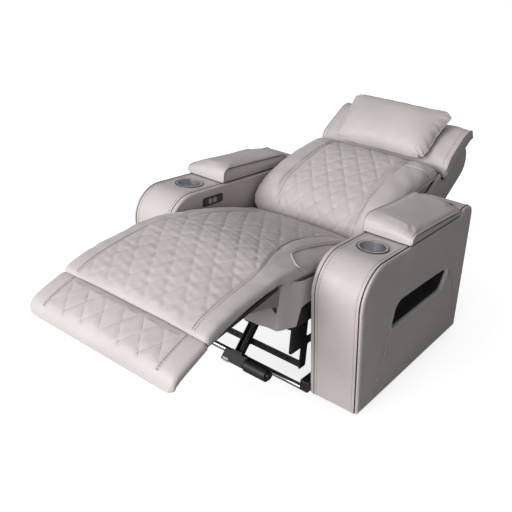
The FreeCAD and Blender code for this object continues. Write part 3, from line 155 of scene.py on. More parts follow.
LEATHER = leather("leather", (0.50, 0.458, 0.449))
BLACK_STEEL = simple("black_steel", (0.012, 0.012, 0.013), 0.42)
BLACK_PLASTIC = simple("black_plastic", (0.014, 0.014, 0.015), 0.5)
ZINC = simple("zinc", (0.55, 0.56, 0.62), 0.28, 1.0, 900.0, 0.0001)
CHROME = simple("chrome", (0.78, 0.78, 0.8), 0.3, 1.0, 60.0, 0.000002, 0.02)
WOOD = simple("wood", (0.45, 0.31, 0.18), 0.6)
WEBBING = simple("webbing", (0.02, 0.02, 0.02), 0.8)
BUTTON = simple("button", (0.05, 0.05, 0.052), 0.3)
THREAD = simple("thread", (0.30, 0.26, 0.235), 0.7)
THREAD_PALE = simple("thread_pale", (0.55, 0.50, 0.46), 0.7)
# Near-black colour for thin tubes laid along seams: painted shade where the seams fall dark.
PAINTED_SHADE = simple("gap", (0.07, 0.06, 0.052), 0.8)
LINER_CLOTH = simple("liner_cloth", (0.03, 0.028, 0.026), 0.85, 0.0, 700.0, 0.0003)
LINER = simple("liner", (0.006, 0.006, 0.006), 0.9)
PIPING = leather("piping", (0.50, 0.455, 0.43))
# Beige paint darkened to the look of the skirt leather in shade: paint colour and painted shade
# together.
BEIGE_PAINT_AND_SHADE = simple("beige_paint_and_shade", (0.30, 0.26, 0.235), 0.5)
BUTTON_PALE = simple("button_pale", (0.42, 0.40, 0.37), 0.35)
BRONZE = simple("bronze", (0.065, 0.05, 0.042), 0.35, 0.4)
LABEL = simple("bare_label", (0.42, 0.42, 0.42), 0.55)

BY_SLOT = {
    "leather": LEATHER, "plywood": WOOD, "steel_cup": CHROME, "black_plastic": BLACK_PLASTIC,
    "black_steel": BLACK_STEEL, "zinc_steel": ZINC, "webbing": WEBBING,
    "button_plastic": BUTTON,
}


def dress(thing, material):
    thing.data.materials.clear()
    thing.data.materials.append(material)


for part in frame["record"]["subparts"]:
    dress(NODES[part["node"]], BY_SLOT[part["material_slot"]])
for covered in ("foot_board", "flap_board", "lid_board_left", "lid_board_right", "head_board",
                "seat_box", "back_frame"):
    dress(NODES[covered], LINER_CLOTH)
# Foot brackets in beige paint darkened like leather in shade: partly paint, partly painted shade.
dress(NODES["foot_brackets"], BEIGE_PAINT_AND_SHADE)
dress(NODES["drive_rail"], BLACK_STEEL)
dress(NODES["control_bezel"], BRONZE)
for pale in ("upright_button", "headrest_button"):
    dress(NODES[pale], BUTTON_PALE)
CUP_X, CUP_Y, CUP_BORE, ARM_TOP = 0.3875, -0.116, 0.0455, 0.541
for cup in ("cup_holder_left", "cup_holder_right"):
    NODES[cup].data.materials.append(BRONZE)
    for face in NODES[cup].data.polygons:
        spot = NODES[cup].matrix_world @ face.center
        off_axis = math.hypot(abs(spot.x) - CUP_X, spot.y - CUP_Y)
        if off_axis > CUP_BORE and spot.z > ARM_TOP:
            face.material_index = 1


# Soft goods: shapes

def curve(keys, at):
    """Smooth monotone line through (place, value) keys, read at the given places."""
    x, y = np.array(keys, float).T
    slope = np.diff(y) / np.diff(x)
    both = slope[1:] * slope[:-1]
    total = slope[1:] + slope[:-1]
    mean = np.where(both > 0, 2 * both / np.where(total == 0, 1, total), 0)
    tangent = np.concatenate(([slope[0]], mean, [slope[-1]]))
    at = np.clip(np.asarray(at, float), x[0], x[-1])
    i = np.clip(np.searchsorted(x, at) - 1, 0, len(x) - 2)
    step = x[i + 1] - x[i]
    t = (at - x[i]) / step
    return ((2 * t ** 3 - 3 * t ** 2 + 1) * y[i] + (t ** 3 - 2 * t ** 2 + t) * step * tangent[i]
            + (3 * t ** 2 - 2 * t ** 3) * y[i + 1] + (t ** 3 - t ** 2) * step * tangent[i + 1])


def run_along(keys, at):
    """Length along a curve, from the first of the given places to each of them."""
    return np.concatenate(([0], np.cumsum(np.hypot(np.diff(at), np.diff(curve(keys, at))))))


def rise(t):
    """Smooth step from 0 to 1."""
    t = np.clip(t, 0, 1)
    return t * t * (3 - 2 * t)


def new_piece(name, points, faces, material):
    """Mesh object from points in millimetres."""
    mesh = bpy.data.meshes.new(name)
    mesh.from_pydata([tuple(np.asarray(point) * MM) for point in points], [], faces)
    mesh.update()
    mesh.shade_smooth()
    piece = bpy.data.objects.new(name, mesh)
    bpy.context.scene.collection.objects.link(piece)
    dress(piece, material)
    return piece


def quads(low, high, closed=True):
    """Faces between two rows of point numbers."""
    count = len(low)
    return [(low[i], low[(i + 1) % count], high[(i + 1) % count], high[i])
            for i in range(count if closed else count - 1)]


def rows_of(count, rows):
    """Point numbers of a grid, row by row."""
    return [range(k * count, (k + 1) * count) for k in range(rows)]


def between(rows, closed=True):
    """Faces between each row of point numbers and the next."""
    return [face for low, high in zip(rows, rows[1:]) for face in quads(low, high, closed)]


def stations(*spans):
    """Places along a piece, from its (start, stop, count) spans."""
    return np.concatenate([np.linspace(*span) for span in spans])


def bow(x, z, across, down, degrees):
    """Points of a rounded edge that runs out to x from the height z."""
    return [(x - across + across * math.sin(turn), z - down + down * math.cos(turn))
            for turn in map(math.radians, degrees)]


def both_sides(side, middle=()):
    """The points of a right side, those in the middle, and the right ones mirrored."""
    return side + list(middle) + [(-x, z) for x, z in reversed(side)]


def outward(piece):
    """Turn all faces outwards."""
    edit = bmesh.new()
    edit.from_mesh(piece.data)
    bmesh.ops.recalc_face_normals(edit, faces=edit.faces)
    edit.to_mesh(piece.data)
    edit.free()
    return piece


def loft(name, loops):
    """Closed leather body through closed loops that have the same number of points."""
    rows = rows_of(len(loops[0]), len(loops))
    faces = between(rows) + [tuple(rows[0])[::-1], tuple(rows[-1])]
    return outward(new_piece(name, [point for loop in loops for point in loop], faces, LEATHER))


def belong(body, *pieces, slot="leather"):
    """Attach pieces to the body that they ride on. The slot argument is not used."""
    for piece in pieces:
        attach(piece, body)


def stand_in(piece, fill, *nodes):
    """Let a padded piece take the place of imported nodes."""
    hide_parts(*nodes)


def coordinates(piece, kind="co"):
    source = piece.data.vertices if kind == "co" else piece.data.vertex_normals
    flat = np.zeros(len(source) * 3, np.float32)
    source.foreach_get("co" if kind == "co" else "vector", flat)
    return flat.reshape(-1, 3).astype(float)


def put_back(piece, points):
    piece.data.vertices.foreach_set("co", points.astype(np.float32).ravel())
    piece.data.update()


def bake(piece, smooth=True):
    """Apply the modifiers and keep the materials."""
    graph = bpy.context.evaluated_depsgraph_get()
    mesh = bpy.data.meshes.new_from_object(piece.evaluated_get(graph))
    piece.modifiers.clear()
    piece.data = mesh
    if smooth:
        mesh.shade_smooth()


def limit_move(piece, before, cap, rounds):
    """Keep a simulated move even and within cap millimetres."""
    move = coordinates(piece) - before
    length = np.linalg.norm(move, axis=1, keepdims=True)
    move *= np.minimum(1, cap * MM / np.maximum(length, 1e-9))
    ends = np.zeros(len(piece.data.edges) * 2, np.int64)
    piece.data.edges.foreach_get("vertices", ends)
    first, second = ends.reshape(-1, 2).T
    count = np.zeros(len(move))
    np.add.at(count, first, 1)
    np.add.at(count, second, 1)
    for _ in range(rounds):
        total = np.zeros_like(move)
        np.add.at(total, first, move[second])
        np.add.at(total, second, move[first])
        move = 0.4 * move + 0.6 * total / np.maximum(count, 1)[:, None]
    put_back(piece, before + move)
    bpy.context.scene.frame_set(1)


def remesh(piece, voxel):
    """Even mesh of voxel millimetres."""
    change = piece.modifiers.new("remesh", "REMESH")
    change.mode = "VOXEL"
    change.voxel_size = voxel * MM
    bake(piece)


def refine(piece):
    """Split each face in four, smoothly."""
    finer = piece.modifiers.new("finer", "SUBSURF")
    finer.levels = finer.render_levels = 1
    bake(piece)


def inflate(piece, pressure, cap, pins, rounds=4):
    """Let air pressure round a cover that is sewn down at pins, (points, weight) pairs."""
    before = coordinates(piece)
    sewn = piece.vertex_groups.new(name="sewn")
    for points, weight in pins:
        sewn.add(points, weight, "REPLACE")
    cloth = piece.modifiers.new("cloth", "CLOTH")
    cloth.settings.use_pressure = True
    cloth.settings.uniform_pressure_force = pressure
    cloth.settings.effector_weights.gravity = 0
    cloth.settings.vertex_group_mass = "sewn"
    cloth.point_cache.frame_start = 1
    cloth.point_cache.frame_end = FRAMES
    for frame_number in range(1, FRAMES + 1):
        bpy.context.scene.frame_set(frame_number)
    bake(piece)
    piece.vertex_groups.clear()
    limit_move(piece, before, cap, rounds)


def swell(piece, voxel, pressure, cap, held):
    """Remesh a cushion and let air pressure round it. held(points) says where it is sewn down."""
    remesh(piece, voxel)
    weight = np.clip(held(coordinates(piece) / MM), 0, 1)
    inflate(piece, pressure, cap,
            [([int(i) for i in np.where(np.abs(weight - level) <= 0.2)[0]], level)
             for level in (1.0, 0.6, 0.3)])
    refine(piece)


def emboss(piece, height):
    """Move the surface along its normals by height(points, normals), in millimetres."""
    points, normals = coordinates(piece), coordinates(piece, "normal")
    lift = np.asarray(height(points / MM, normals), float)
    put_back(piece, points + normals * lift[:, None] * MM)


def ridge_noise(points, size, seed):
    """Slow waves from a few crossed sine sheets, from -1 to 1."""
    draw = np.random.default_rng(seed)
    total = np.zeros(len(points))
    for _ in range(7):
        way = draw.normal(size=3)
        way *= 2 * math.pi / (size * draw.uniform(0.6, 1.6)) / np.linalg.norm(way)
        total += np.sin(points @ way + draw.uniform(0, 2 * math.pi))
    return total / 3.2


def quilt(across, along, phase, width=73.0, length=105.0, reach=19.0):
    """Height, 0 to 1, of a diamond quilt that two families of seams draw down."""
    pitch = 1 / math.hypot(1 / width, 1 / length)
    height = np.ones_like(across)
    for sign in (1, -1):
        turn = sign * across / width + along / length + phase
        gap = np.abs(turn - np.round(turn)) * pitch
        height *= 1 - (1 - np.minimum(gap, reach) / reach) ** 2.6
    return height


def sweep(points, radius, sides=8, closed=False):
    """Points and faces of a round tube along a line, in millimetres."""
    line = np.array(points, float)
    count = len(line)
    ahead = np.roll(line, -1, axis=0) - np.roll(line, 1, axis=0)
    if not closed:
        ahead[0] = line[1] - line[0]
        ahead[-1] = line[-1] - line[-2]
    ahead /= np.maximum(np.linalg.norm(ahead, axis=1, keepdims=True), 1e-9)
    side = np.cross(ahead[0], (0.0, 0.0, 1.0))
    if np.linalg.norm(side) < 0.1:
        side = np.cross(ahead[0], (1.0, 0.0, 0.0))
    rings = []
    for k in range(count):
        side = side - ahead[k] * (side @ ahead[k])
        side /= np.linalg.norm(side)
        over = np.cross(ahead[k], side)
        for i in range(sides):
            turn = 2 * math.pi * i / sides
            rings.append(line[k] + radius * (side * math.cos(turn) + over * math.sin(turn)))
    rows = rows_of(sides, count)
    if closed:
        return rings, between(rows + rows[:1])
    return rings, between(rows) + [tuple(rows[0])[::-1], tuple(rows[-1])]


def gather(name, bits, material):
    """One piece from several (points, faces) bits."""
    points, faces = [], []
    for some_points, some_faces in bits:
        base = len(points)
        points.extend(some_points)
        faces.extend(tuple(base + i for i in face) for face in some_faces)
    return new_piece(name, points, faces, material)


def resample(points, pitch):
    """The same line with points at an even pitch."""
    line = np.array(points, float)
    run = np.concatenate(([0], np.cumsum(np.linalg.norm(np.diff(line, axis=0), axis=1))))
    steps = np.linspace(0, run[-1], max(2, int(round(run[-1] / pitch)) + 1))
    return np.stack([np.interp(steps, run, line[:, axis]) for axis in range(3)], axis=1)


def surface_of(piece):
    return BVHTree.FromPolygons([vertex.co for vertex in piece.data.vertices],
                                [face.vertices for face in piece.data.polygons])


def settle(surface, points, lift):
    """Move points to the nearest place on a surface, then out along its normal."""
    placed = []
    for point in points:
        spot, normal, _, _ = surface.find_nearest(Vector(np.asarray(point) * MM))
        placed.append(np.array(spot) / MM + np.array(normal) * lift)
    return np.array(placed)


def threads(line, pitch, length, radius):
    """Bits of a sewn thread: one short rounded stitch at each pitch along a line."""
    bits = []
    line = resample(line, 1.0)
    reach = int(length / 2)
    for middle in range(reach + 1, len(line) - reach - 1, int(pitch)):
        run = line[middle - reach:middle + reach + 1]
        bits.append(sweep([run[0], line[middle], run[-1]], radius, 5))
    return bits


def sew(skin, line, radius, pitch=9, length=6):
    """Bits of a row of stitches on a skin."""
    return threads(settle(skin, line, 0.1), pitch, length, radius)


def pipe(skin, line, lift, radius, sides=8):
    """Bit of piping laid on a skin."""
    return sweep(settle(skin, line, lift), radius, sides)


def quilt_threads(surface, across, along, place, inside, phase, width=73.0, length=105.0):
    """Stitches down in the seams of a quilt, where inside(across, along) holds."""
    bits = []
    run = np.arange(along[0], along[1], 3.0)
    first = math.floor(across[0] / width + along[0] / length + phase) - 2
    last = math.ceil(across[1] / width + along[1] / length + phase) + 2
    for sign in (1, -1):
        for k in range(first, last + 1):
            spots = sign * (k - phase - run / length) * width
            keep = (spots > across[0]) & (spots < across[1])
            keep &= inside(spots, run)
            if keep.sum() < 6:
                continue
            line = settle(surface, [place(x, v) for x, v in zip(spots[keep], run[keep])], 0.15)
            bits += threads(line, 7, 4, 0.5)
    return bits


# Chaise cushion: seat and leg pad under one quilted panel

CHAISE_TOP = ((-742, 437), (-738, 441), (-732, 444.5), (-726, 448), (-686, 471), (-628, 496),
              (-576, 513), (-506, 532), (-440, 548), (-400, 551), (-330, 548), (-257, 540),
              (-180, 526), (-102, 507), (-40, 490), (13, 473), (50, 460), (62, 450), (67, 438))
CHAISE_EDGE = ((-742, 436), (-735, 450), (-726, 457), (-679, 477), (-606, 494), (-510, 507),
               (-447, 517), (-383, 517), (-293, 505), (-171, 489), (-35, 460), (50, 438),
               (67, 426))
CHAISE_LIP = ((-742, 413), (-709, 426), (-650, 446), (-592, 463), (-543, 477), (-488, 486),
              (-430, 492), (-371, 484), (-293, 473), (-171, 455), (-35, 430), (67, 418))
CHAISE_LOW = ((-742, 410.5), (-404, 475.5), (-396, 467), (-376, 451), (-343, 415.5), (67, 415.5))
CHAISE_SEAM = ((-742, 226), (-484, 226), (-454, 222), (-400, 205), (-346, 188), (-276, 170),
               (-172, 156), (-49, 153), (59, 168), (70, 170))
CHAISE_SIDE = ((-347, 284), (-338, 270), (-326, 250), (-306, 228), (-280, 222), (-156, 221),
               (67, 222))
CHAISE_CORNER = ((-308, 484), (-318, 493), (-334, 514), (-343, 532))
CHAISE_HALF = 284
CHAISE_PHASE = 0.282
SINK = 3.0


def pad_loop(place, half, centre, edge, lip, low, corner, power=2.2, columns=61):
    """Cross section of a pad: crowned top, rounded corners, bulged side, tucked underside."""
    lip = max(lip, low + 7)
    corner = min(corner, (edge - lip) * 0.8 + 2)
    across = np.linspace(-1, 1, columns) * (half - corner)
    top = edge + (centre - edge) * (1 - np.abs(across / half) ** power)
    brow = top[-1]
    side = bow(half, brow, corner, corner, (22, 45, 68, 90))
    side += [(half + 1, (brow - corner + lip) / 2), (half - 5, lip), (half - 13, lip - 4),
             (half - 16, low + 2), (half - 20, low)]
    return [place(x, z) for x, z in list(zip(across, top)) + both_sides(side, [(0, low)])]


def chaise():
    loops = []
    for y in stations((-727, -715, 5), (-708, 40, 84), (45, 67, 8)):
        lean = 14 * (1 - rise((y + 727) / 120))
        top_y = y - lean
        draw = 1.5 * (1 - rise((y + 727) / 12)) + 6 * rise((y - 45) / 22)
        low = curve(CHAISE_LOW, y)

        def place(x, z, y=y, lean=lean, low=low):
            return x, y - lean * (z - low) / 32, z
        loops.append(pad_loop(place, CHAISE_HALF - draw, curve(CHAISE_TOP, top_y) - SINK,
                              curve(CHAISE_EDGE, top_y) - SINK,
                              curve(CHAISE_LIP, top_y), low, 15))
    return loft("chaise_cushion", loops)


RUN_Y = np.linspace(-742, 67, 400)
RUN = run_along(CHAISE_TOP, RUN_Y)


def chaise_held(points):
    """1 at the seams, the border and the underside, 0 in the middle of each panel."""
    seam = np.abs(np.abs(points[:, 0]) - curve(CHAISE_SEAM, points[:, 1]))
    under = points[:, 2] < curve(CHAISE_LIP, points[:, 1]) + 3
    return np.where(under | (seam < 5), 1.0, 0.0)


def groove(gap, wide, deep):
    return -deep * np.exp(-(gap / wide) ** 2)


def chaise_height(points, normals):
    x, y = points[:, 0], points[:, 1]
    along = np.interp(y, RUN_Y, RUN)
    seam = curve(CHAISE_SEAM, y)
    inside = seam - np.abs(x)
    top = rise((normals[:, 2] - 0.15) / 0.3)
    field = rise((inside - 1) / 12) * rise((along - 12) / 34) * rise((56 - y) / 20)
    height = (1.9 + 0.8 * rise((y + 480) / 220)) * field * quilt(x, along, CHAISE_PHASE)
    height += ridge_noise(points, 34, 3) * 0.7 * field
    height += groove(inside, 3.4, 2.2)
    band = rise((-inside) / 14) * rise((y + 330) / 60)
    height += 5.0 * band * rise((218 - np.abs(x)) / 12)
    side = np.abs(x) - curve(CHAISE_SIDE, y)
    height += np.where(y > -345, groove(side, 3.4, 2.2), 0)
    strip = rise((-inside - 4) / 10) * rise((-400 - y) / 60)
    pucker = np.sin(along / 5.2 + ridge_noise(points, 60, 8) * 2.0)
    edge = rise((np.abs(x) - 252) / 24) * rise((along - 60) / 60)
    patchy = rise((ridge_noise(points, 160, 9) - 0.1) / 0.8)
    height += strip * edge * pucker * patchy * 1.2
    height += ridge_noise(points, 70, 5) * 0.8 * rise(-inside / 10)
    return height * top


chaise_cushion = chaise()
swell(chaise_cushion, 6.5, 4.0, 6.0, chaise_held)
CHAISE_SKIN = surface_of(chaise_cushion)
emboss(chaise_cushion, chaise_height)


def bend_at_knee(piece):
    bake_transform(piece)


def chaise_line(keys, y_low, y_high, side, offset=0.0):
    """A line on the chaise cushion that follows one of its seams."""
    y = np.linspace(y_low, y_high, 160)
    x = side * (curve(keys, y) + offset)
    return np.stack([x, y, curve(CHAISE_TOP, y) + 12], axis=1)


seam_bits, pipe_bits = [], []
for side in (-1, 1):
    for offset in (-4.5, 4.5):
        line = resample(chaise_line(CHAISE_SEAM, -735, -300, side, offset), 4)
        seam_bits += sew(CHAISE_SKIN, line, 0.75)
    line = resample(chaise_line(CHAISE_SEAM, -330, 58, side), 5)
    pipe_bits.append(pipe(CHAISE_SKIN, line, -0.6, 2.6))
    line = [(side * 296, y, z) for y, z in CHAISE_CORNER]
    line += list(chaise_line(CHAISE_SIDE, -343, 60, side))
    pipe_bits.append(pipe(CHAISE_SKIN, resample(line, 5), 0.2, 2.8))


def chaise_spot(x, along):
    y = np.interp(along, RUN, RUN_Y)
    return x, y, curve(CHAISE_TOP, y) + 10


def in_chaise_panel(x, along):
    y = np.interp(along, RUN, RUN_Y)
    return (np.abs(x) < curve(CHAISE_SEAM, y) - 5) & (along > 26) & (y < 50)


seam_bits += quilt_threads(CHAISE_SKIN, (-226, 226), (20, RUN[-1]), chaise_spot,
                           in_chaise_panel, CHAISE_PHASE)
chaise_threads = gather("chaise_threads", seam_bits, THREAD)
chaise_piping = gather("chaise_piping", pipe_bits, PIPING)

stand_in(chaise_cushion, 0.7, "seat_cushion", "foot_pad")
for piece in (chaise_cushion, chaise_threads, chaise_piping):
    bend_at_knee(piece)


# Flap at the foot end

FLAP_PIVOT = (-723.85, 394.8)
FLAP_TURN = math.radians(28)
FLAP_HALF = 287
FLAP_SEAM = 222
FLAP_PHASE = 0.961
FLAP_TOP = ((-2, 41), (1, 45), (6, 47.5), (20, 51), (60, 55), (95, 56), (112, 52), (124, 44),
            (131, 35), (136, 24), (138, 18))
FLAP_LOW = ((-2, 19), (121, 18.5), (124, 10), (131, 9), (136, 13), (138, 16))


def flap_point(x, out, up):
    turn_cos, turn_sin = math.cos(FLAP_TURN), math.sin(FLAP_TURN)
    return (x, FLAP_PIVOT[0] - out * turn_cos - up * turn_sin,
            FLAP_PIVOT[1] - out * turn_sin + up * turn_cos)


def flap():
    loops = []
    for out in stations((1, 12, 6), (18, 110, 16), (113, 138, 14)):
        top, low = curve(FLAP_TOP, out), curve(FLAP_LOW, out)
        draw = 1.5 * (1 - rise(out / 10)) + 12 * rise((out - 118) / 20) ** 2
        edge = low + (top - low) * 0.86
        lip = low + (edge - low) * 0.25

        def place(x, up, out=out):
            return flap_point(x, out - 13 * (1 - rise(out / 60)) * (up - 18) / 27, up)
        loops.append(pad_loop(place, FLAP_HALF - draw, top, edge, lip, low, 13, 4.0))
    return loft("flap_cushion", loops)


def flap_local(points):
    dy, dz = points[:, 1] - FLAP_PIVOT[0], points[:, 2] - FLAP_PIVOT[1]
    out = -(dy * math.cos(FLAP_TURN) + dz * math.sin(FLAP_TURN))
    up = -dy * math.sin(FLAP_TURN) + dz * math.cos(FLAP_TURN)
    return out, up


def flap_held(points):
    out, up = flap_local(points)
    return np.where((up < 21) | (np.abs(np.abs(points[:, 0]) - FLAP_SEAM) < 5), 1.0, 0.0)


def flap_height(points, normals):
    x = points[:, 0]
    out, up = flap_local(points)
    facing = -normals[:, 1] * math.sin(FLAP_TURN) + normals[:, 2] * math.cos(FLAP_TURN)
    inside = FLAP_SEAM - np.abs(x)
    field = rise((inside - 1) / 12) * rise((out - 3) / 10) * rise((122 - out) / 30)
    height = 1.7 * field * quilt(x, -out, FLAP_PHASE)
    height += ridge_noise(points, 34, 13) * 0.6 * field
    height += groove(inside, 3.4, 1.8) * rise((134 - out) / 8)
    height += ridge_noise(points, 80, 15) * 0.7 * rise(-inside / 10)
    return height * rise((facing - 0.1) / 0.3)


flap_cushion = flap()
swell(flap_cushion, 5.0, 4.0, 5.0, flap_held)
FLAP_SKIN = surface_of(flap_cushion)
emboss(flap_cushion, flap_height)
seam_bits = []
for side in (-1, 1):
    for offset in (-1.5, 4.5):
        x = side * (FLAP_SEAM + offset)
        seam_bits += sew(FLAP_SKIN, [flap_point(x, out, 62) for out in range(-6, 128, 3)], 0.75)
seam_bits += quilt_threads(FLAP_SKIN, (5 - FLAP_SEAM, FLAP_SEAM - 5), (-112, -6),
                           lambda x, along: flap_point(x, -along, 62),
                           lambda x, along: np.abs(x) < FLAP_SEAM - 5, FLAP_PHASE)
flap_threads = gather("flap_threads", seam_bits, THREAD)
stand_in(flap_cushion, 0.6, "flap_pad")
belong("flap", flap_cushion, flap_threads)


# Back cushion: quilted lumbar panel between raised side bolsters

RECLINE = math.radians(56)
BACK_HINGE = (224.0, 365.0)
BACK_FRONT = ((-44, 96), (-40, 108), (-32, 122), (-20, 137), (0, 151), (24, 163), (50, 171),
              (75, 175), (120, 170), (189, 156), (250, 140), (317, 120), (350, 106), (380, 88),
              (400, 72), (416, 54), (428, 32), (434, 14))
BACK_RIDGE = ((-44, 94), (-32, 118), (0, 150), (40, 172), (69, 181), (120, 174), (189, 159),
              (250, 137), (317, 112), (370, 90), (398, 76), (418, 58), (430, 34), (434, 14))
BACK_PIPE = ((-44, 90), (0, 128), (69, 122), (140, 106), (242, 82), (317, 48), (404, 6), (434, 0))
BACK_REAR = ((-44, 84), (-34, 66), (-20, 46), (0, 32), (24, 22), (50, -9), (434, -9))
BACK_SEAM = 165.0
BACK_HALF = 283
BACK_QUILT = (0.0, 76.0, 102.0)


def back_point(x, up, out):
    return (x, BACK_HINGE[0] + up * math.sin(RECLINE) - out * math.cos(RECLINE),
            BACK_HINGE[1] + up * math.cos(RECLINE) + out * math.sin(RECLINE))


def back_local(points):
    dy, dz = points[:, 1] - BACK_HINGE[0], points[:, 2] - BACK_HINGE[1]
    return (dy * math.sin(RECLINE) + dz * math.cos(RECLINE),
            -dy * math.cos(RECLINE) + dz * math.sin(RECLINE))


def back_facing(normals):
    """How far normals point out of the front of the back."""
    return -normals[:, 1] * math.cos(RECLINE) + normals[:, 2] * math.sin(RECLINE)


def back():
    loops = []
    for up in stations((-44, 0, 10), (8, 380, 48), (386, 434, 10)):
        front, ridge = curve(BACK_FRONT, up) - 2, curve(BACK_RIDGE, up) - 1
        rear = curve(BACK_REAR, up)
        pipe = max(curve(BACK_PIPE, up), rear + 4)
        draw = 20 * (1 - rise((up + 44) / 22)) + 5 * rise((up - 416) / 18)
        half = BACK_HALF - draw
        seam = BACK_SEAM * half / BACK_HALF
        brow = pipe + (ridge - pipe) * 0.3
        middle = np.linspace(-1, 1, 41)
        ring = [(t * seam, front + 4 * (1 - t * t)) for t in middle]
        side = []
        for t in np.linspace(0.06, 1, 17):
            if t < 0.34:
                out = front + (ridge - front) * rise(t / 0.34)
            else:
                out = brow + (ridge - brow) * math.sqrt(max(0, 1 - ((t - 0.34) / 0.66) ** 2.6))
            side.append((seam + (half - seam) * t, out))
        side += [(half + 0.5, (brow + pipe) / 2), (half - 3, pipe), (half - 8, pipe - 5),
                 (half - 10, rear + 3), (half - 16, rear)]
        ring += both_sides(side, [(0, rear)])
        loops.append([back_point(x, up, out) for x, out in ring])
    return loft("back_cushion_cover", loops)


def back_line(keys, x, ups, lift):
    """A line up the back, lift above the profile that keys give."""
    return [back_point(x, up, curve(keys, up) + lift) for up in ups]


BACK_UP = np.linspace(-60, 434, 250)
BACK_RUN = run_along(BACK_FRONT, BACK_UP)
BACK_RUN -= np.interp(-53, BACK_UP, BACK_RUN)


def back_held(points):
    up, out = back_local(points)
    under = out < curve(BACK_PIPE, up) + 3
    return np.where(under | (np.abs(np.abs(points[:, 0]) - BACK_SEAM) < 5), 1.0, 0.0)


def back_height(points, normals):
    x = points[:, 0]
    up, out = back_local(points)
    along = np.interp(up, BACK_UP, BACK_RUN)
    inside = BACK_SEAM - np.abs(x)
    field = rise((inside - 2) / 16) * rise((up + 44) / 12) * rise((424 - up) / 24)
    height = 2.8 * field * quilt(x, along, *BACK_QUILT)
    height += ridge_noise(points, 34, 23) * 0.7 * field
    height += groove(inside, 3.4, 2.4) + groove(inside + 17, 3.4, 2.2)
    height += ridge_noise(points, 90, 25) * 1.4 * rise(-inside / 14)
    cross = rise((-inside - 6) / 10)
    height += cross * groove(up - 352 - 0.12 * (np.abs(x) - BACK_SEAM), 3.0, 4.0)
    return height * rise((back_facing(normals) + 0.2) / 0.4)


back_cushion = back()
swell(back_cushion, 6.0, 4.0, 6.0, back_held)
BACK_SKIN = surface_of(back_cushion)
emboss(back_cushion, back_height)
seam_bits, pipe_bits = [], []
for side in (-1, 1):
    for offset in (4, 13, 21):
        line = back_line(BACK_FRONT, side * (BACK_SEAM + offset), range(-10, 400, 5), 12)
        seam_bits += sew(BACK_SKIN, line, 0.75)
    line = back_line(BACK_PIPE, side * 290, range(70, 412, 5), 0)
    pipe_bits.append(pipe(BACK_SKIN, line, 1.2, 2.8))


def back_spot(x, along):
    up = np.interp(along, BACK_RUN, BACK_UP)
    return back_point(x, up, curve(BACK_FRONT, up) + 10)


seam_bits += quilt_threads(BACK_SKIN, (5 - BACK_SEAM, BACK_SEAM - 5), (10, 488), back_spot,
                           lambda x, along: np.abs(x) < BACK_SEAM - 5, *BACK_QUILT)
back_threads = gather("back_threads", seam_bits, THREAD)
back_piping = gather("back_piping", pipe_bits, PIPING)
stand_in(back_cushion, 0.7, "back_cushion")
belong("back", back_cushion, back_threads, back_piping)


# Tail of the seat cushion, shaped lower at its rear where the lumbar roll presses on it

def tail():
    loops = []
    for y in np.linspace(70, 132, 12):
        draw = 10 + 8 * rise((y - 118) / 14)
        top = 449 - 0.22 * (y - 62) - 10 * rise((y - 120) / 12)
        loops.append(pad_loop(lambda x, z, y=y: (x, y, z), BACK_HALF - draw, top, top - 12,
                              421, 416, 10))
    return loft("seat_tail", loops)


seat_tail = tail()
refine(seat_tail)
belong("seat", seat_tail)
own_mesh(seat_tail)


# Headrest pad with piped ends

HEAD_FRONT = ((462, -20), (468, -4), (480, 8), (510, 20), (560, 24), (620, 24), (670, 14),
              (700, 2), (714, -10), (722, -24), (726, -40))
HEAD_HALF = 299
HEAD_REAR = ((462, -44), (690, -46), (710, -54), (726, -64))


def headrest():
    loops = []
    for up in stations((462, 480, 8), (490, 690, 22), (696, 726, 10)):
        front, rear = curve(HEAD_FRONT, up), curve(HEAD_REAR, up)
        draw = 8 * (1 - rise((up - 462) / 12)) + 4 * rise((up - 708) / 18)
        half = HEAD_HALF - draw
        low = min(rear, front - 14) - 12
        ring = [(t * (half - 12), front - 4 * abs(t) ** 3) for t in np.linspace(-1, 1, 47)]
        brow = ring[-1][1]
        side = bow(half, brow, 12, 9, (20, 42, 64, 90))
        side += [(half + 2, (brow + low) / 2), (half - 1, low + 6), (half - 6, low), (249, low),
                 (243, rear), (236, rear)]
        loops.append([back_point(x, up, out) for x, out in ring + both_sides(side)])
    return loft("headrest_cushion", loops)


def head_held(points):
    up, out = back_local(points)
    return np.where((out < curve(HEAD_FRONT, up) - 14) | (np.abs(points[:, 0]) > 286), 1.0, 0.0)


def head_height(points, normals):
    height = groove(np.abs(points[:, 0]) - 283, 3.0, 2.6)
    height += ridge_noise(points, 110, 31) * 1.8
    return height * rise((back_facing(normals) - 0.1) / 0.4)


head_cushion = headrest()
swell(head_cushion, 6.0, 3.0, 4.0, head_held)
emboss(head_cushion, head_height)
HEAD_SKIN = surface_of(head_cushion)
pipe_bits, seam_bits = [], []
for side in (-1, 1):
    line = back_line(HEAD_FRONT, side * 298, range(466, 722, 5), -5)
    pipe_bits.append(pipe(HEAD_SKIN, line, 1.4, 2.6))
    line = back_line(HEAD_FRONT, side * 276, range(474, 706, 5), 8)
    seam_bits += sew(HEAD_SKIN, line, 0.7)
head_piping = gather("headrest_piping", pipe_bits, PIPING)
head_threads = gather("headrest_threads", seam_bits, THREAD)
stand_in(head_cushion, 0.6, "head_pad")
belong("headrest", head_cushion, head_piping, head_threads)


# Loose pillow: two panels sewn along their edge, blown up by cloth pressure

PILLOW_HALF, PILLOW_TALL, PILLOW_MIDDLE, PILLOW_OUT = 229.0, 130.0, 581.0, 50.0


def pillow_outline(a, b):
    """Edge-drawn rectangle: knobs at the corners, sides pulled in between."""
    x = PILLOW_HALF * a * (0.97 + 0.05 * b - 0.03 * (1 - b * b) - 0.10 * np.abs(a * b) ** 9)
    up = PILLOW_TALL * b * (1 - 0.05 * (1 - a * a) - 0.15 * np.abs(a * b) ** 9)
    return x, up


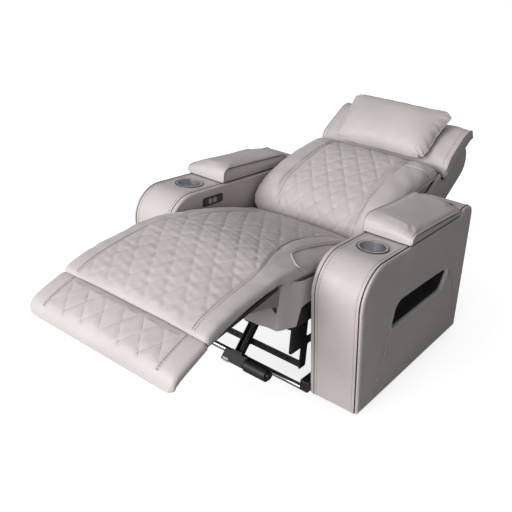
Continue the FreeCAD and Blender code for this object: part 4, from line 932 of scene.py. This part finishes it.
def pillow():
    """The pillow and the numbers of the points along its edge."""
    columns, rows = 92, 56
    points, faces = [], []
    turn = np.linspace(-math.pi / 2, math.pi / 2, columns + 1)
    tilt = np.linspace(-math.pi / 2, math.pi / 2, rows + 1)
    index = {}
    for face_side in (1, -1):
        for j, b in enumerate(np.sin(tilt)):
            for i, a in enumerate(np.sin(turn)):
                edge = i in (0, columns) or j in (0, rows)
                if face_side < 0 and edge:
                    index[face_side, i, j] = index[1, i, j]
                    continue
                x, up = pillow_outline(a, b)
                thick = (1 - a ** 4) ** 0.6 * (1 - b * b) ** 0.52
                thick *= (60 - 10 * b) if face_side > 0 else (24 + 12 * b)
                index[face_side, i, j] = len(points)
                points.append(back_point(x - 5, PILLOW_MIDDLE + up,
                                         PILLOW_OUT + 13 * b + face_side * thick))
        for j in range(rows):
            for i in range(columns):
                ring = [index[face_side, i, j], index[face_side, i + 1, j],
                        index[face_side, i + 1, j + 1], index[face_side, i, j + 1]]
                faces.append(tuple(ring if face_side > 0 else ring[::-1]))
    rim = [index[1, i, 0] for i in range(columns)]
    rim += [index[1, columns, j] for j in range(rows)]
    rim += [index[1, i, rows] for i in range(columns, 0, -1)]
    rim += [index[1, 0, j] for j in range(rows, 0, -1)]
    return new_piece("pillow_cushion", points, faces, LEATHER), rim


def pillow_height(points, normals):
    up, out = back_local(points)
    a, b = np.abs(points[:, 0]) / PILLOW_HALF, np.abs(up - PILLOW_MIDDLE) / PILLOW_TALL
    corner = rise((np.hypot(a, b) - 0.95) / 0.4)
    fan = np.arctan2(1.05 - b, 1.05 - a)
    folds = np.sin(fan * 15 + ridge_noise(points, 120, 41) * 1.3)
    near_end = rise((a - 0.72) / 0.22) * rise((0.97 - a) / 0.1)
    pleats = np.sin((up - PILLOW_MIDDLE) / 6.5 + ridge_noise(points, 90, 43) * 1.6)
    return corner * folds * 2.4 + near_end * pleats * 1.6 + ridge_noise(points, 100, 45) * 1.6


pillow_cushion, PILLOW_EDGE = pillow()
inflate(pillow_cushion, 4.0, 9, [(PILLOW_EDGE, 1.0)], rounds=1)
refine(pillow_cushion)
emboss(pillow_cushion, pillow_height)
edge_line = [point / MM for point in coordinates(pillow_cushion)[PILLOW_EDGE]]
pillow_piping = gather("pillow_piping", [sweep(edge_line, 2.6, closed=True)], PIPING)
stand_in(pillow_cushion, 0.8, "pillow")
belong("headrest", pillow_cushion, pillow_piping)
for piece in (pillow_cushion, pillow_piping):
    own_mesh(piece)


# Padded lids on the arms

LID_FRONT, LID_REAR, LID_HALF, LID_FOOT = -31.0, 372.0, 90.5, 545.9
LID_BASE, LID_NOSE = 545.3, 34.0
ARM_MIDDLE = 387.5


def lid_edges(y):
    """Heights of the lid's inner and outer top edge, and how far y is into its round nose."""
    share = (y - LID_FRONT) / (LID_REAR - LID_FRONT)
    nose = max(0.0, 1 - (y - LID_FRONT) / LID_NOSE)
    round_off = 30 * (1 - math.sqrt(max(0.0, 1 - nose ** 2)))
    sink = round_off + 20 * rise((y - 322) / 50) ** 2
    return LID_BASE + 61 - 8 * share - sink, LID_BASE + 37 - 8 * share - sink * 0.62, nose


def lid_loop(y, side):
    """Cross section of a lid pad, which is higher towards the seat."""
    inner, outer, nose = lid_edges(y)
    foot = LID_FOOT
    ring = []
    for t in np.linspace(-0.93, 0.93, 31):
        crown = 8.5 * (1 - t * t) * (1 - 0.4 * nose)
        ring.append((t * LID_HALF, outer + (inner - outer) * (1 - t) / 2 + crown))
    outer_side = [(LID_HALF * 0.965, outer - 0.5), (LID_HALF - 0.6, outer - 3.5),
                  (LID_HALF - 0.6, outer - 8), (LID_HALF - 2.2, outer - 13),
                  (LID_HALF - 2, foot + 4), (LID_HALF - 5, foot)]
    ring += outer_side + [(0, foot)]
    ring += [(-x, z + inner - outer if z > foot + 5 else z) for x, z in outer_side[::-1]]
    return [(side * (ARM_MIDDLE + x), y, z) for x, z in ring]


def lid(name, side):
    """Pad of one lid with its flange piping, a near-black tube of painted shade below it and a row
    of stitches.
    """
    nose = LID_FRONT + LID_NOSE * (1 - np.cos(np.linspace(0, math.pi / 2, 12)))
    rest = stations((12, 352, 18), (358, LID_REAR, 6))
    cushion = loft("lid_cushion_" + name, [lid_loop(y, side) for y in (*nose, *rest)])
    swell(cushion, 4.0, 4.0, 3.0, lambda points: np.where(points[:, 2] < LID_FOOT + 14, 1.0, 0.0))
    emboss(cushion, lambda points, normals:
           ridge_noise(points, 120, 51 + side) * 1.2 * rise((normals[:, 2] - 0.3) / 0.4))
    skin = surface_of(cushion)
    bits, stitched, shades = [], [], []
    for edge in (1, -1):
        x = side * (ARM_MIDDLE + edge * LID_HALF)
        line = [(x, LID_FRONT, LID_FOOT + 5)]
        line += [(x, y, lid_edges(y)[0 if edge < 0 else 1] - 2)
                 for y in stations((LID_FRONT + 1, 4, 16), (12, 360, 45))]
        bits.append(pipe(skin, resample(line, 4), 1.4, 2.6))
        # Near-black tube just under the piping: painted shade in the seam below the flange.
        under = [(x, y, z - 6.5) for x, y, z in line[2:-6]]
        shades.append(pipe(skin, resample(under, 4), 0.2, 1.3, 6))
        row = [(x - side * edge * 9, y, z + 6) for x, y, z in line[4:]]
        stitched += sew(skin, resample(row, 4), 0.65)
    piping = gather("lid_piping_" + name, bits, PIPING)
    sewing = gather("lid_threads_" + name, stitched, THREAD)
    shade = gather("lid_painted_shade_" + name, shades, PAINTED_SHADE)
    stand_in(cushion, 0.7, "lid_pad_" + name)
    belong(name + "_lid", cushion, piping, sewing, shade)


lid("left", -1)
lid("right", 1)


# Rear of the back: leather wrapped round the frame, open towards the cushion

BACK_OUTLINE = ((-8, -34), (-60, -40), (-140, -40), (-160, -36), (-170, -24), (-173, 0),
                (-173, 300), (-173, 600), (-170, 630), (-158, 652), (-138, 668), (-112, 677),
                (-90, 677), (-74, 668), (-68, 652), (-66, 600), (-66, 470), (-60, 452),
                (-44, 446), (-12, 446), (-8, 440), (-8, 200))
COVER_HALF = 286.0


def back_cover():
    """Side panels and rear wrap with rounded edges."""
    path = [np.array(point, float) for point in BACK_OUTLINE]
    middle = np.mean(path, axis=0)
    count = len(path)
    points, faces = [], []
    for side in (-1, 1):
        for inset_by, back_in in ((0, 10), (1.5, 5), (5, 1.5), (10, 0)):
            for spot in path:
                toward = (middle - spot) / np.linalg.norm(middle - spot)
                out, up = spot + toward * inset_by
                points.append(back_point(side * (COVER_HALF - back_in), up, out))
    rows = rows_of(count, 8)
    for side_rows, turn in ((rows[:4], -1), (rows[4:], 1)):
        faces.append(tuple(side_rows[3])[::turn])
        faces += [face[::turn] for face in between(side_rows)]
    for i in range(3, 15):
        faces.append((i, i + 1, 4 * count + i + 1, 4 * count + i))
    return outward(new_piece("back_cover", points, faces, LEATHER))


back_wrap = back_cover()
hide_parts("back_shell")
belong("back", back_wrap)


# Arms: outer side panels with a rolled pocket opening, near-black tubes of painted shade in the
# edge gaps, and stitching

def rounded(corners):
    """Outline through (y, z, radius) corners with circular arcs."""
    line = []
    count = len(corners)
    for k, (y, z, radius) in enumerate(corners):
        here = np.array((y, z), float)
        before = np.array(corners[k - 1][:2], float) - here
        after = np.array(corners[(k + 1) % count][:2], float) - here
        before /= np.linalg.norm(before)
        after /= np.linalg.norm(after)
        half_angle = math.acos(np.clip(before @ after, -1, 1)) / 2
        if radius == 0:
            line.append(here)
            continue
        reach = radius / math.tan(half_angle)
        middle = (before + after) / np.linalg.norm(before + after)
        centre = here + middle * radius / math.sin(half_angle)
        start, stop = here + before * reach - centre, here + after * reach - centre
        sweep_angle = math.atan2(start[0] * stop[1] - start[1] * stop[0], start @ stop)
        steps = max(3, int(abs(sweep_angle) * radius / 4))
        for t in np.linspace(0, sweep_angle, steps + 1):
            line.append(centre + np.array((start[0] * math.cos(t) - start[1] * math.sin(t),
                                           start[0] * math.sin(t) + start[1] * math.cos(t))))
    return np.array(line)


ARM_LINE = rounded(((-233, 25, 0), (-320, 542, 110), (376, 542, 8), (392, 566, 8), (479, 566, 45),
                    (540, 25, 0)))
SLOT_LINE = rounded(((-98, 277, 22), (300, 277, 34), (336, 352, 12), (-62, 366, 40)))
POCKET_SEAMS = (((-97, 280), (-110, 193), (-131, 127), (-167, 41), (-173, 25)),
                ((326, 352), (368, 315), (410, 262), (440, 200), (466, 100), (482, 25)))
PANEL_EDGE = ((464.6, 0.0), (472.0, 0.0), (476.5, 1.6), (479.5, 6.0))
# x of the front strip's two edges, where the tubes of painted shade run.
STRIP_SHADE_GAPS = (311.0, 464.3)
STRIP_SEAMS = (322.0, 453.0)


def inset(line, amount):
    """The closed outline moved inwards."""
    ahead = np.roll(line, -1, axis=0) - np.roll(line, 1, axis=0)
    ahead /= np.linalg.norm(ahead, axis=1, keepdims=True)
    area = np.sum(line[:, 0] * np.roll(line[:, 1], -1) - np.roll(line[:, 0], -1) * line[:, 1])
    inward = np.stack([-ahead[:, 1], ahead[:, 0]], axis=1) * (1 if area > 0 else -1)
    return line + inward * amount


def gap_to(line, points):
    """Distance from points to a polyline, both in the arm's side view."""
    best = np.full(len(points), 1e9)
    line = np.array(line, float)
    for start, stop in zip(line[:-1], line[1:]):
        run = stop - start
        t = np.clip(((points - start) @ run) / (run @ run), 0, 1)
        best = np.minimum(best, np.linalg.norm(points - start - t[:, None] * run, axis=1))
    return best


def side_panel(name, side):
    """Padded outer panel of an arm, its slot edged by a soft roll."""
    edit = bmesh.new()

    def ring(line, x):
        return [edit.verts.new(Vector((side * x, y, z)) * MM) for y, z in line]
    outer = [ring(inset(ARM_LINE, amount), x) for x, amount in PANEL_EDGE]
    hole = [ring(inset(SLOT_LINE, -amount), x) for x, amount in PANEL_EDGE]
    for face in between(outer) + between(hole):
        edit.faces.new(face)
    for level in (0, -1):
        edges = [edit.edges.get(pair) for loop in (outer[level], hole[level])
                 for pair in zip(loop, loop[1:] + loop[:1])]
        bmesh.ops.triangle_fill(edit, edges=edges, use_beauty=True, use_dissolve=False)
    bmesh.ops.recalc_face_normals(edit, faces=edit.faces)
    piece = new_piece("arm_side_" + name, [], [], LEATHER)
    edit.to_mesh(piece.data)
    edit.free()
    remesh(piece, 4.0)
    even = piece.modifiers.new("even", "SMOOTH")
    even.factor = 0.5
    even.iterations = 3
    bake(piece)

    def height(points, normals):
        flat = points[:, 1:]
        facing = rise((side * normals[:, 0] - 0.3) / 0.4)
        to_slot = gap_to(np.vstack([SLOT_LINE, SLOT_LINE[:1]]), flat)
        lower = rise((345 - flat[:, 1]) / 40) + rise((flat[:, 0] - 270) / 40)
        roll = 3.6 * np.exp(-((to_slot - 9) / 8) ** 2) * np.clip(lower, 0, 1)
        seams = np.minimum(gap_to(POCKET_SEAMS[0], flat), gap_to(POCKET_SEAMS[1], flat))
        rim = gap_to(np.vstack([ARM_LINE, ARM_LINE[:1]]), flat)
        dome = 1.6 * rise((rim - 8) / 50)
        waves = ridge_noise(points, 260, 61) * 0.8
        lift = roll + groove(seams, 3.0, 2.6) + dome - 1.9 + waves * rise((rim - 20) / 60)
        return np.minimum(lift, 3.4) * facing
    emboss(piece, height)
    skin = surface_of(piece)
    bits, ropes = [], []
    for seam in POCKET_SEAMS:
        line = [(side * 490, y + 6, z) for y, z in seam]
        bits += sew(skin, resample(line, 4)[2:-2], 1.0, 10, 7)
        line = [(side * 490, y, z) for y, z in seam]
        ropes.append(pipe(skin, resample(line, 4)[1:-1], 0.3, 1.5, 6))
    rope = gather("arm_side_piping_" + name, ropes, PIPING)
    sewing = gather("arm_side_threads_" + name, bits, THREAD_PALE)
    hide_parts("arm_panel_outer_" + name)
    belong("base", piece, sewing, rope)


def arm_trim(name, side):
    """Near-black tubes of painted shade in the gaps beside the arm's front strip, and the stitched
    rows along it.
    """
    edge, sewn = inset(ARM_LINE, -0.2), inset(ARM_LINE, -0.5)
    # Tubes along both edges of the front strip, in the near-black colour of painted shade.
    shade_tubes = [sweep([(side * x, y, z) for y, z in edge], 1.5, 6) for x in STRIP_SHADE_GAPS]
    shade_piece = gather("arm_painted_shade_" + name, shade_tubes, PAINTED_SHADE)
    front = (edge[:, 1] < 543) & (edge[:, 0] < 376) & (ARM_LINE[:, 0] < -34)
    rows = []
    for x in STRIP_SEAMS:
        run = [(side * x, y, z) for y, z in sewn[front]] + [(side * x, -36, 542.5)]
        rows += threads(resample(run, 2), 9, 6, 0.7)
    sewing = gather("arm_threads_" + name, rows, THREAD)
    belong("base", shade_piece, sewing)


for arm_name, arm_side in (("left", -1), ("right", 1)):
    side_panel(arm_name, arm_side)
    arm_trim(arm_name, arm_side)


def pocket_liner():
    """Dark cloth pockets behind the two slots."""
    bits = []
    line = inset(SLOT_LINE, -2)
    rows = rows_of(len(line), 4)
    for side in (-1, 1):
        points = [(side * x, y, z) for x, amount in ((464, 0), (455, 1), (440, 3), (418, 8))
                  for y, z in inset(line, amount)]
        bits.append((points, between(rows) + [tuple(rows[3])]))
    return gather("pocket_liners", bits, LINER)


liners = pocket_liner()
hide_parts("side_pockets")
belong("base", liners, slot="black_plastic")


# Bare label plate on the drive motor's gear case

motor_skin = surface_of(NODES["drive_motor"])
face_y = motor_skin.ray_cast(Vector((14, -600, 75)) * MM, Vector((0, 1, 0)))[0].y / MM
plate = [(x, face_y + out, z) for x in (2, 26) for out in (-1.2, 0.4) for z in (64, 82)]
label_plate = new_piece("label_plate", plate, [
    (0, 1, 3, 2), (4, 6, 7, 5), (0, 4, 5, 1), (2, 3, 7, 6), (0, 2, 6, 4), (1, 5, 7, 3)], LABEL)
label_plate.data.shade_flat()
edge = label_plate.modifiers.new("edge", "BEVEL")
edge.width = 0.4 * MM
edge.segments = 3
bake(label_plate, smooth=False)
belong("seat", label_plate, slot="black_plastic")


# Leather skirt round the front of the seat box

def mirrored(keys):
    """Keys along half of the skirt, and the same along its other half."""
    return keys + tuple((1 - t, z) for t, z in reversed(keys))


SKIRT_HALF = ((-286, -240), (-286, -322), (-281, -338), (-256, -386), (-250, -393))
SKIRT_TOP = mirrored(((0, 462), (0.11, 466), (0.2, 470), (0.21, 464), (0.3, 462)))
SKIRT_HEM = mirrored(((0, 384), (0.105, 374), (0.115, 311), (0.2, 309), (0.3, 300), (0.4, 298)))
SKIRT_ROWS = 26


def skirt():
    """Leather sheet hung round the front of the seat box, with slow upright folds."""
    path = SKIRT_HALF + tuple((-x, y) for x, y in reversed(SKIRT_HALF))
    line = resample([(x, y, 0) for x, y in path], 6)
    run = np.concatenate(([0], np.cumsum(np.linalg.norm(np.diff(line, axis=0), axis=1))))
    run /= run[-1]
    top, hem = curve(SKIRT_TOP, run), curve(SKIRT_HEM, run)
    points = [(x, y, high + (low - high) * j / SKIRT_ROWS) for j in range(SKIRT_ROWS + 1)
              for (x, y, _), high, low in zip(line, top, hem)]
    faces = between(rows_of(len(line), SKIRT_ROWS + 1), closed=False)
    piece = new_piece("skirt", points, faces, LEATHER)
    emboss(piece, lambda spots, normals: ridge_noise(spots * np.array((1, 1, 0.25)), 46, 71) * 1.4)
    wall = piece.modifiers.new("wall", "SOLIDIFY")
    wall.thickness = 2.4 * MM
    wall.offset = 0
    bake(piece)
    belong("seat", piece)


skirt()


# Camera and light

TARGET = Vector((0, 0.056, 0.425))
AZIMUTH, ELEVATION, ROLL = (math.radians(angle) for angle in (33.3, 22.3, 5.7))
DISTANCE = 2.3674
away = Vector((math.sin(AZIMUTH) * math.cos(ELEVATION),
               -math.cos(AZIMUTH) * math.cos(ELEVATION), math.sin(ELEVATION)))
right = Vector((0, 0, 1)).cross(away).normalized()
above = away.cross(right)
turned = right * math.cos(ROLL) + above * math.sin(ROLL)
upward = above * math.cos(ROLL) - right * math.sin(ROLL)
camera_data = bpy.data.cameras.new("camera")
camera = bpy.data.objects.new("camera", camera_data)
bpy.context.scene.collection.objects.link(camera)
camera.matrix_world = Matrix.Translation(TARGET + away * DISTANCE) @ Matrix(
    (turned, upward, away)).transposed().to_4x4()
camera_data.sensor_width = 36
camera_data.lens = 45.75
camera_data.shift_x, camera_data.shift_y = -0.0842, -0.0486
bpy.context.scene.camera = camera


def area_light(name, where, aim, size, power):
    data = bpy.data.lights.new(name, "AREA")
    data.shape = "RECTANGLE"
    data.size, data.size_y = size
    data.energy = power
    lamp = bpy.data.objects.new(name, data)
    lamp.location = where
    lamp.rotation_euler = (Vector(aim) - Vector(where)).to_track_quat("-Z", "Y").to_euler()
    bpy.context.scene.collection.objects.link(lamp)


area_light("key", (-2.1, -6.2, 3.2), (0, -0.1, 0.45), (4.4, 3.2), 330)
area_light("front", (0.1, -7.2, 1.4), (0.1, 0, 0.3), (5.0, 2.6), 335)
area_light("top", (0.3, 0.2, 3.2), (0.1, 0.2, 0.4), (2.4, 2.0), 12)


def studio_white():
    """World that reads white to the camera and in gloss, and lights the object softly."""
    world = bpy.data.worlds.new("studio")
    world.use_nodes = True
    tree = world.node_tree
    soft = tree.nodes["Background"]
    soft.inputs["Color"].default_value = (1, 1, 1, 1)
    soft.inputs["Strength"].default_value = 0.2
    white = add_node(tree, "ShaderNodeBackground", Color=(1, 1, 1, 1), Strength=1.0)
    path = add_node(tree, "ShaderNodeLightPath").outputs
    seen = add_node(tree, "ShaderNodeMath", "MAXIMUM")
    shiny = add_node(tree, "ShaderNodeMath", "MULTIPLY_ADD")
    shiny.inputs[1].default_value = 0.3
    mix = add_node(tree, "ShaderNodeMixShader")
    for source, target in (
            (path["Is Camera Ray"], seen.inputs[0]), (path["Is Transmission Ray"], seen.inputs[1]),
            (path["Is Glossy Ray"], shiny.inputs[0]), (seen.outputs[0], shiny.inputs[2]),
            (shiny.outputs[0], mix.inputs["Fac"]), (soft.outputs[0], mix.inputs[1]),
            (white.outputs[0], mix.inputs[2]),
            (mix.outputs[0], tree.nodes["World Output"].inputs["Surface"])):
        tree.links.new(source, target)
    bpy.context.scene.world = world


def floor_paper():
    """Floor that reads white to the camera, with the object's shadow left in it."""
    material, tree = blank("paper")
    output = add_node(tree, "ShaderNodeOutputMaterial")
    mix = add_node(tree, "ShaderNodeMixShader")
    paint = add_node(tree, "ShaderNodeBsdfDiffuse", Color=(0.45, 0.45, 0.45, 1))
    both = add_node(tree, "ShaderNodeAddShader")
    glow = add_node(tree, "ShaderNodeEmission")
    place = add_node(tree, "ShaderNodeTexCoord")
    reach = add_node(tree, "ShaderNodeVectorMath", "LENGTH")
    spread = add_node(tree, "ShaderNodeMapRange", **{"From Min": 0.8, "From Max": 2.2,
                                                     "To Min": 0.82, "To Max": 1.0})
    path = add_node(tree, "ShaderNodeLightPath")
    for source, target in (
            (place.outputs["Object"], reach.inputs[0]),
            (reach.outputs["Value"], spread.inputs["Value"]),
            (spread.outputs["Result"], glow.inputs["Strength"]),
            (path.outputs["Is Camera Ray"], mix.inputs["Fac"]),
            (paint.outputs["BSDF"], mix.inputs[1]), (paint.outputs["BSDF"], both.inputs[0]),
            (glow.outputs["Emission"], both.inputs[1]), (both.outputs["Shader"], mix.inputs[2]),
            (mix.outputs["Shader"], output.inputs["Surface"])):
        tree.links.new(source, target)
    return material


studio_white()
bpy.ops.mesh.primitive_plane_add(size=60, location=(0, 0, 0))
floor = bpy.context.object
floor.name = "floor"
dress(floor, floor_paper())

bpy.context.scene.view_settings.view_transform = "Standard"
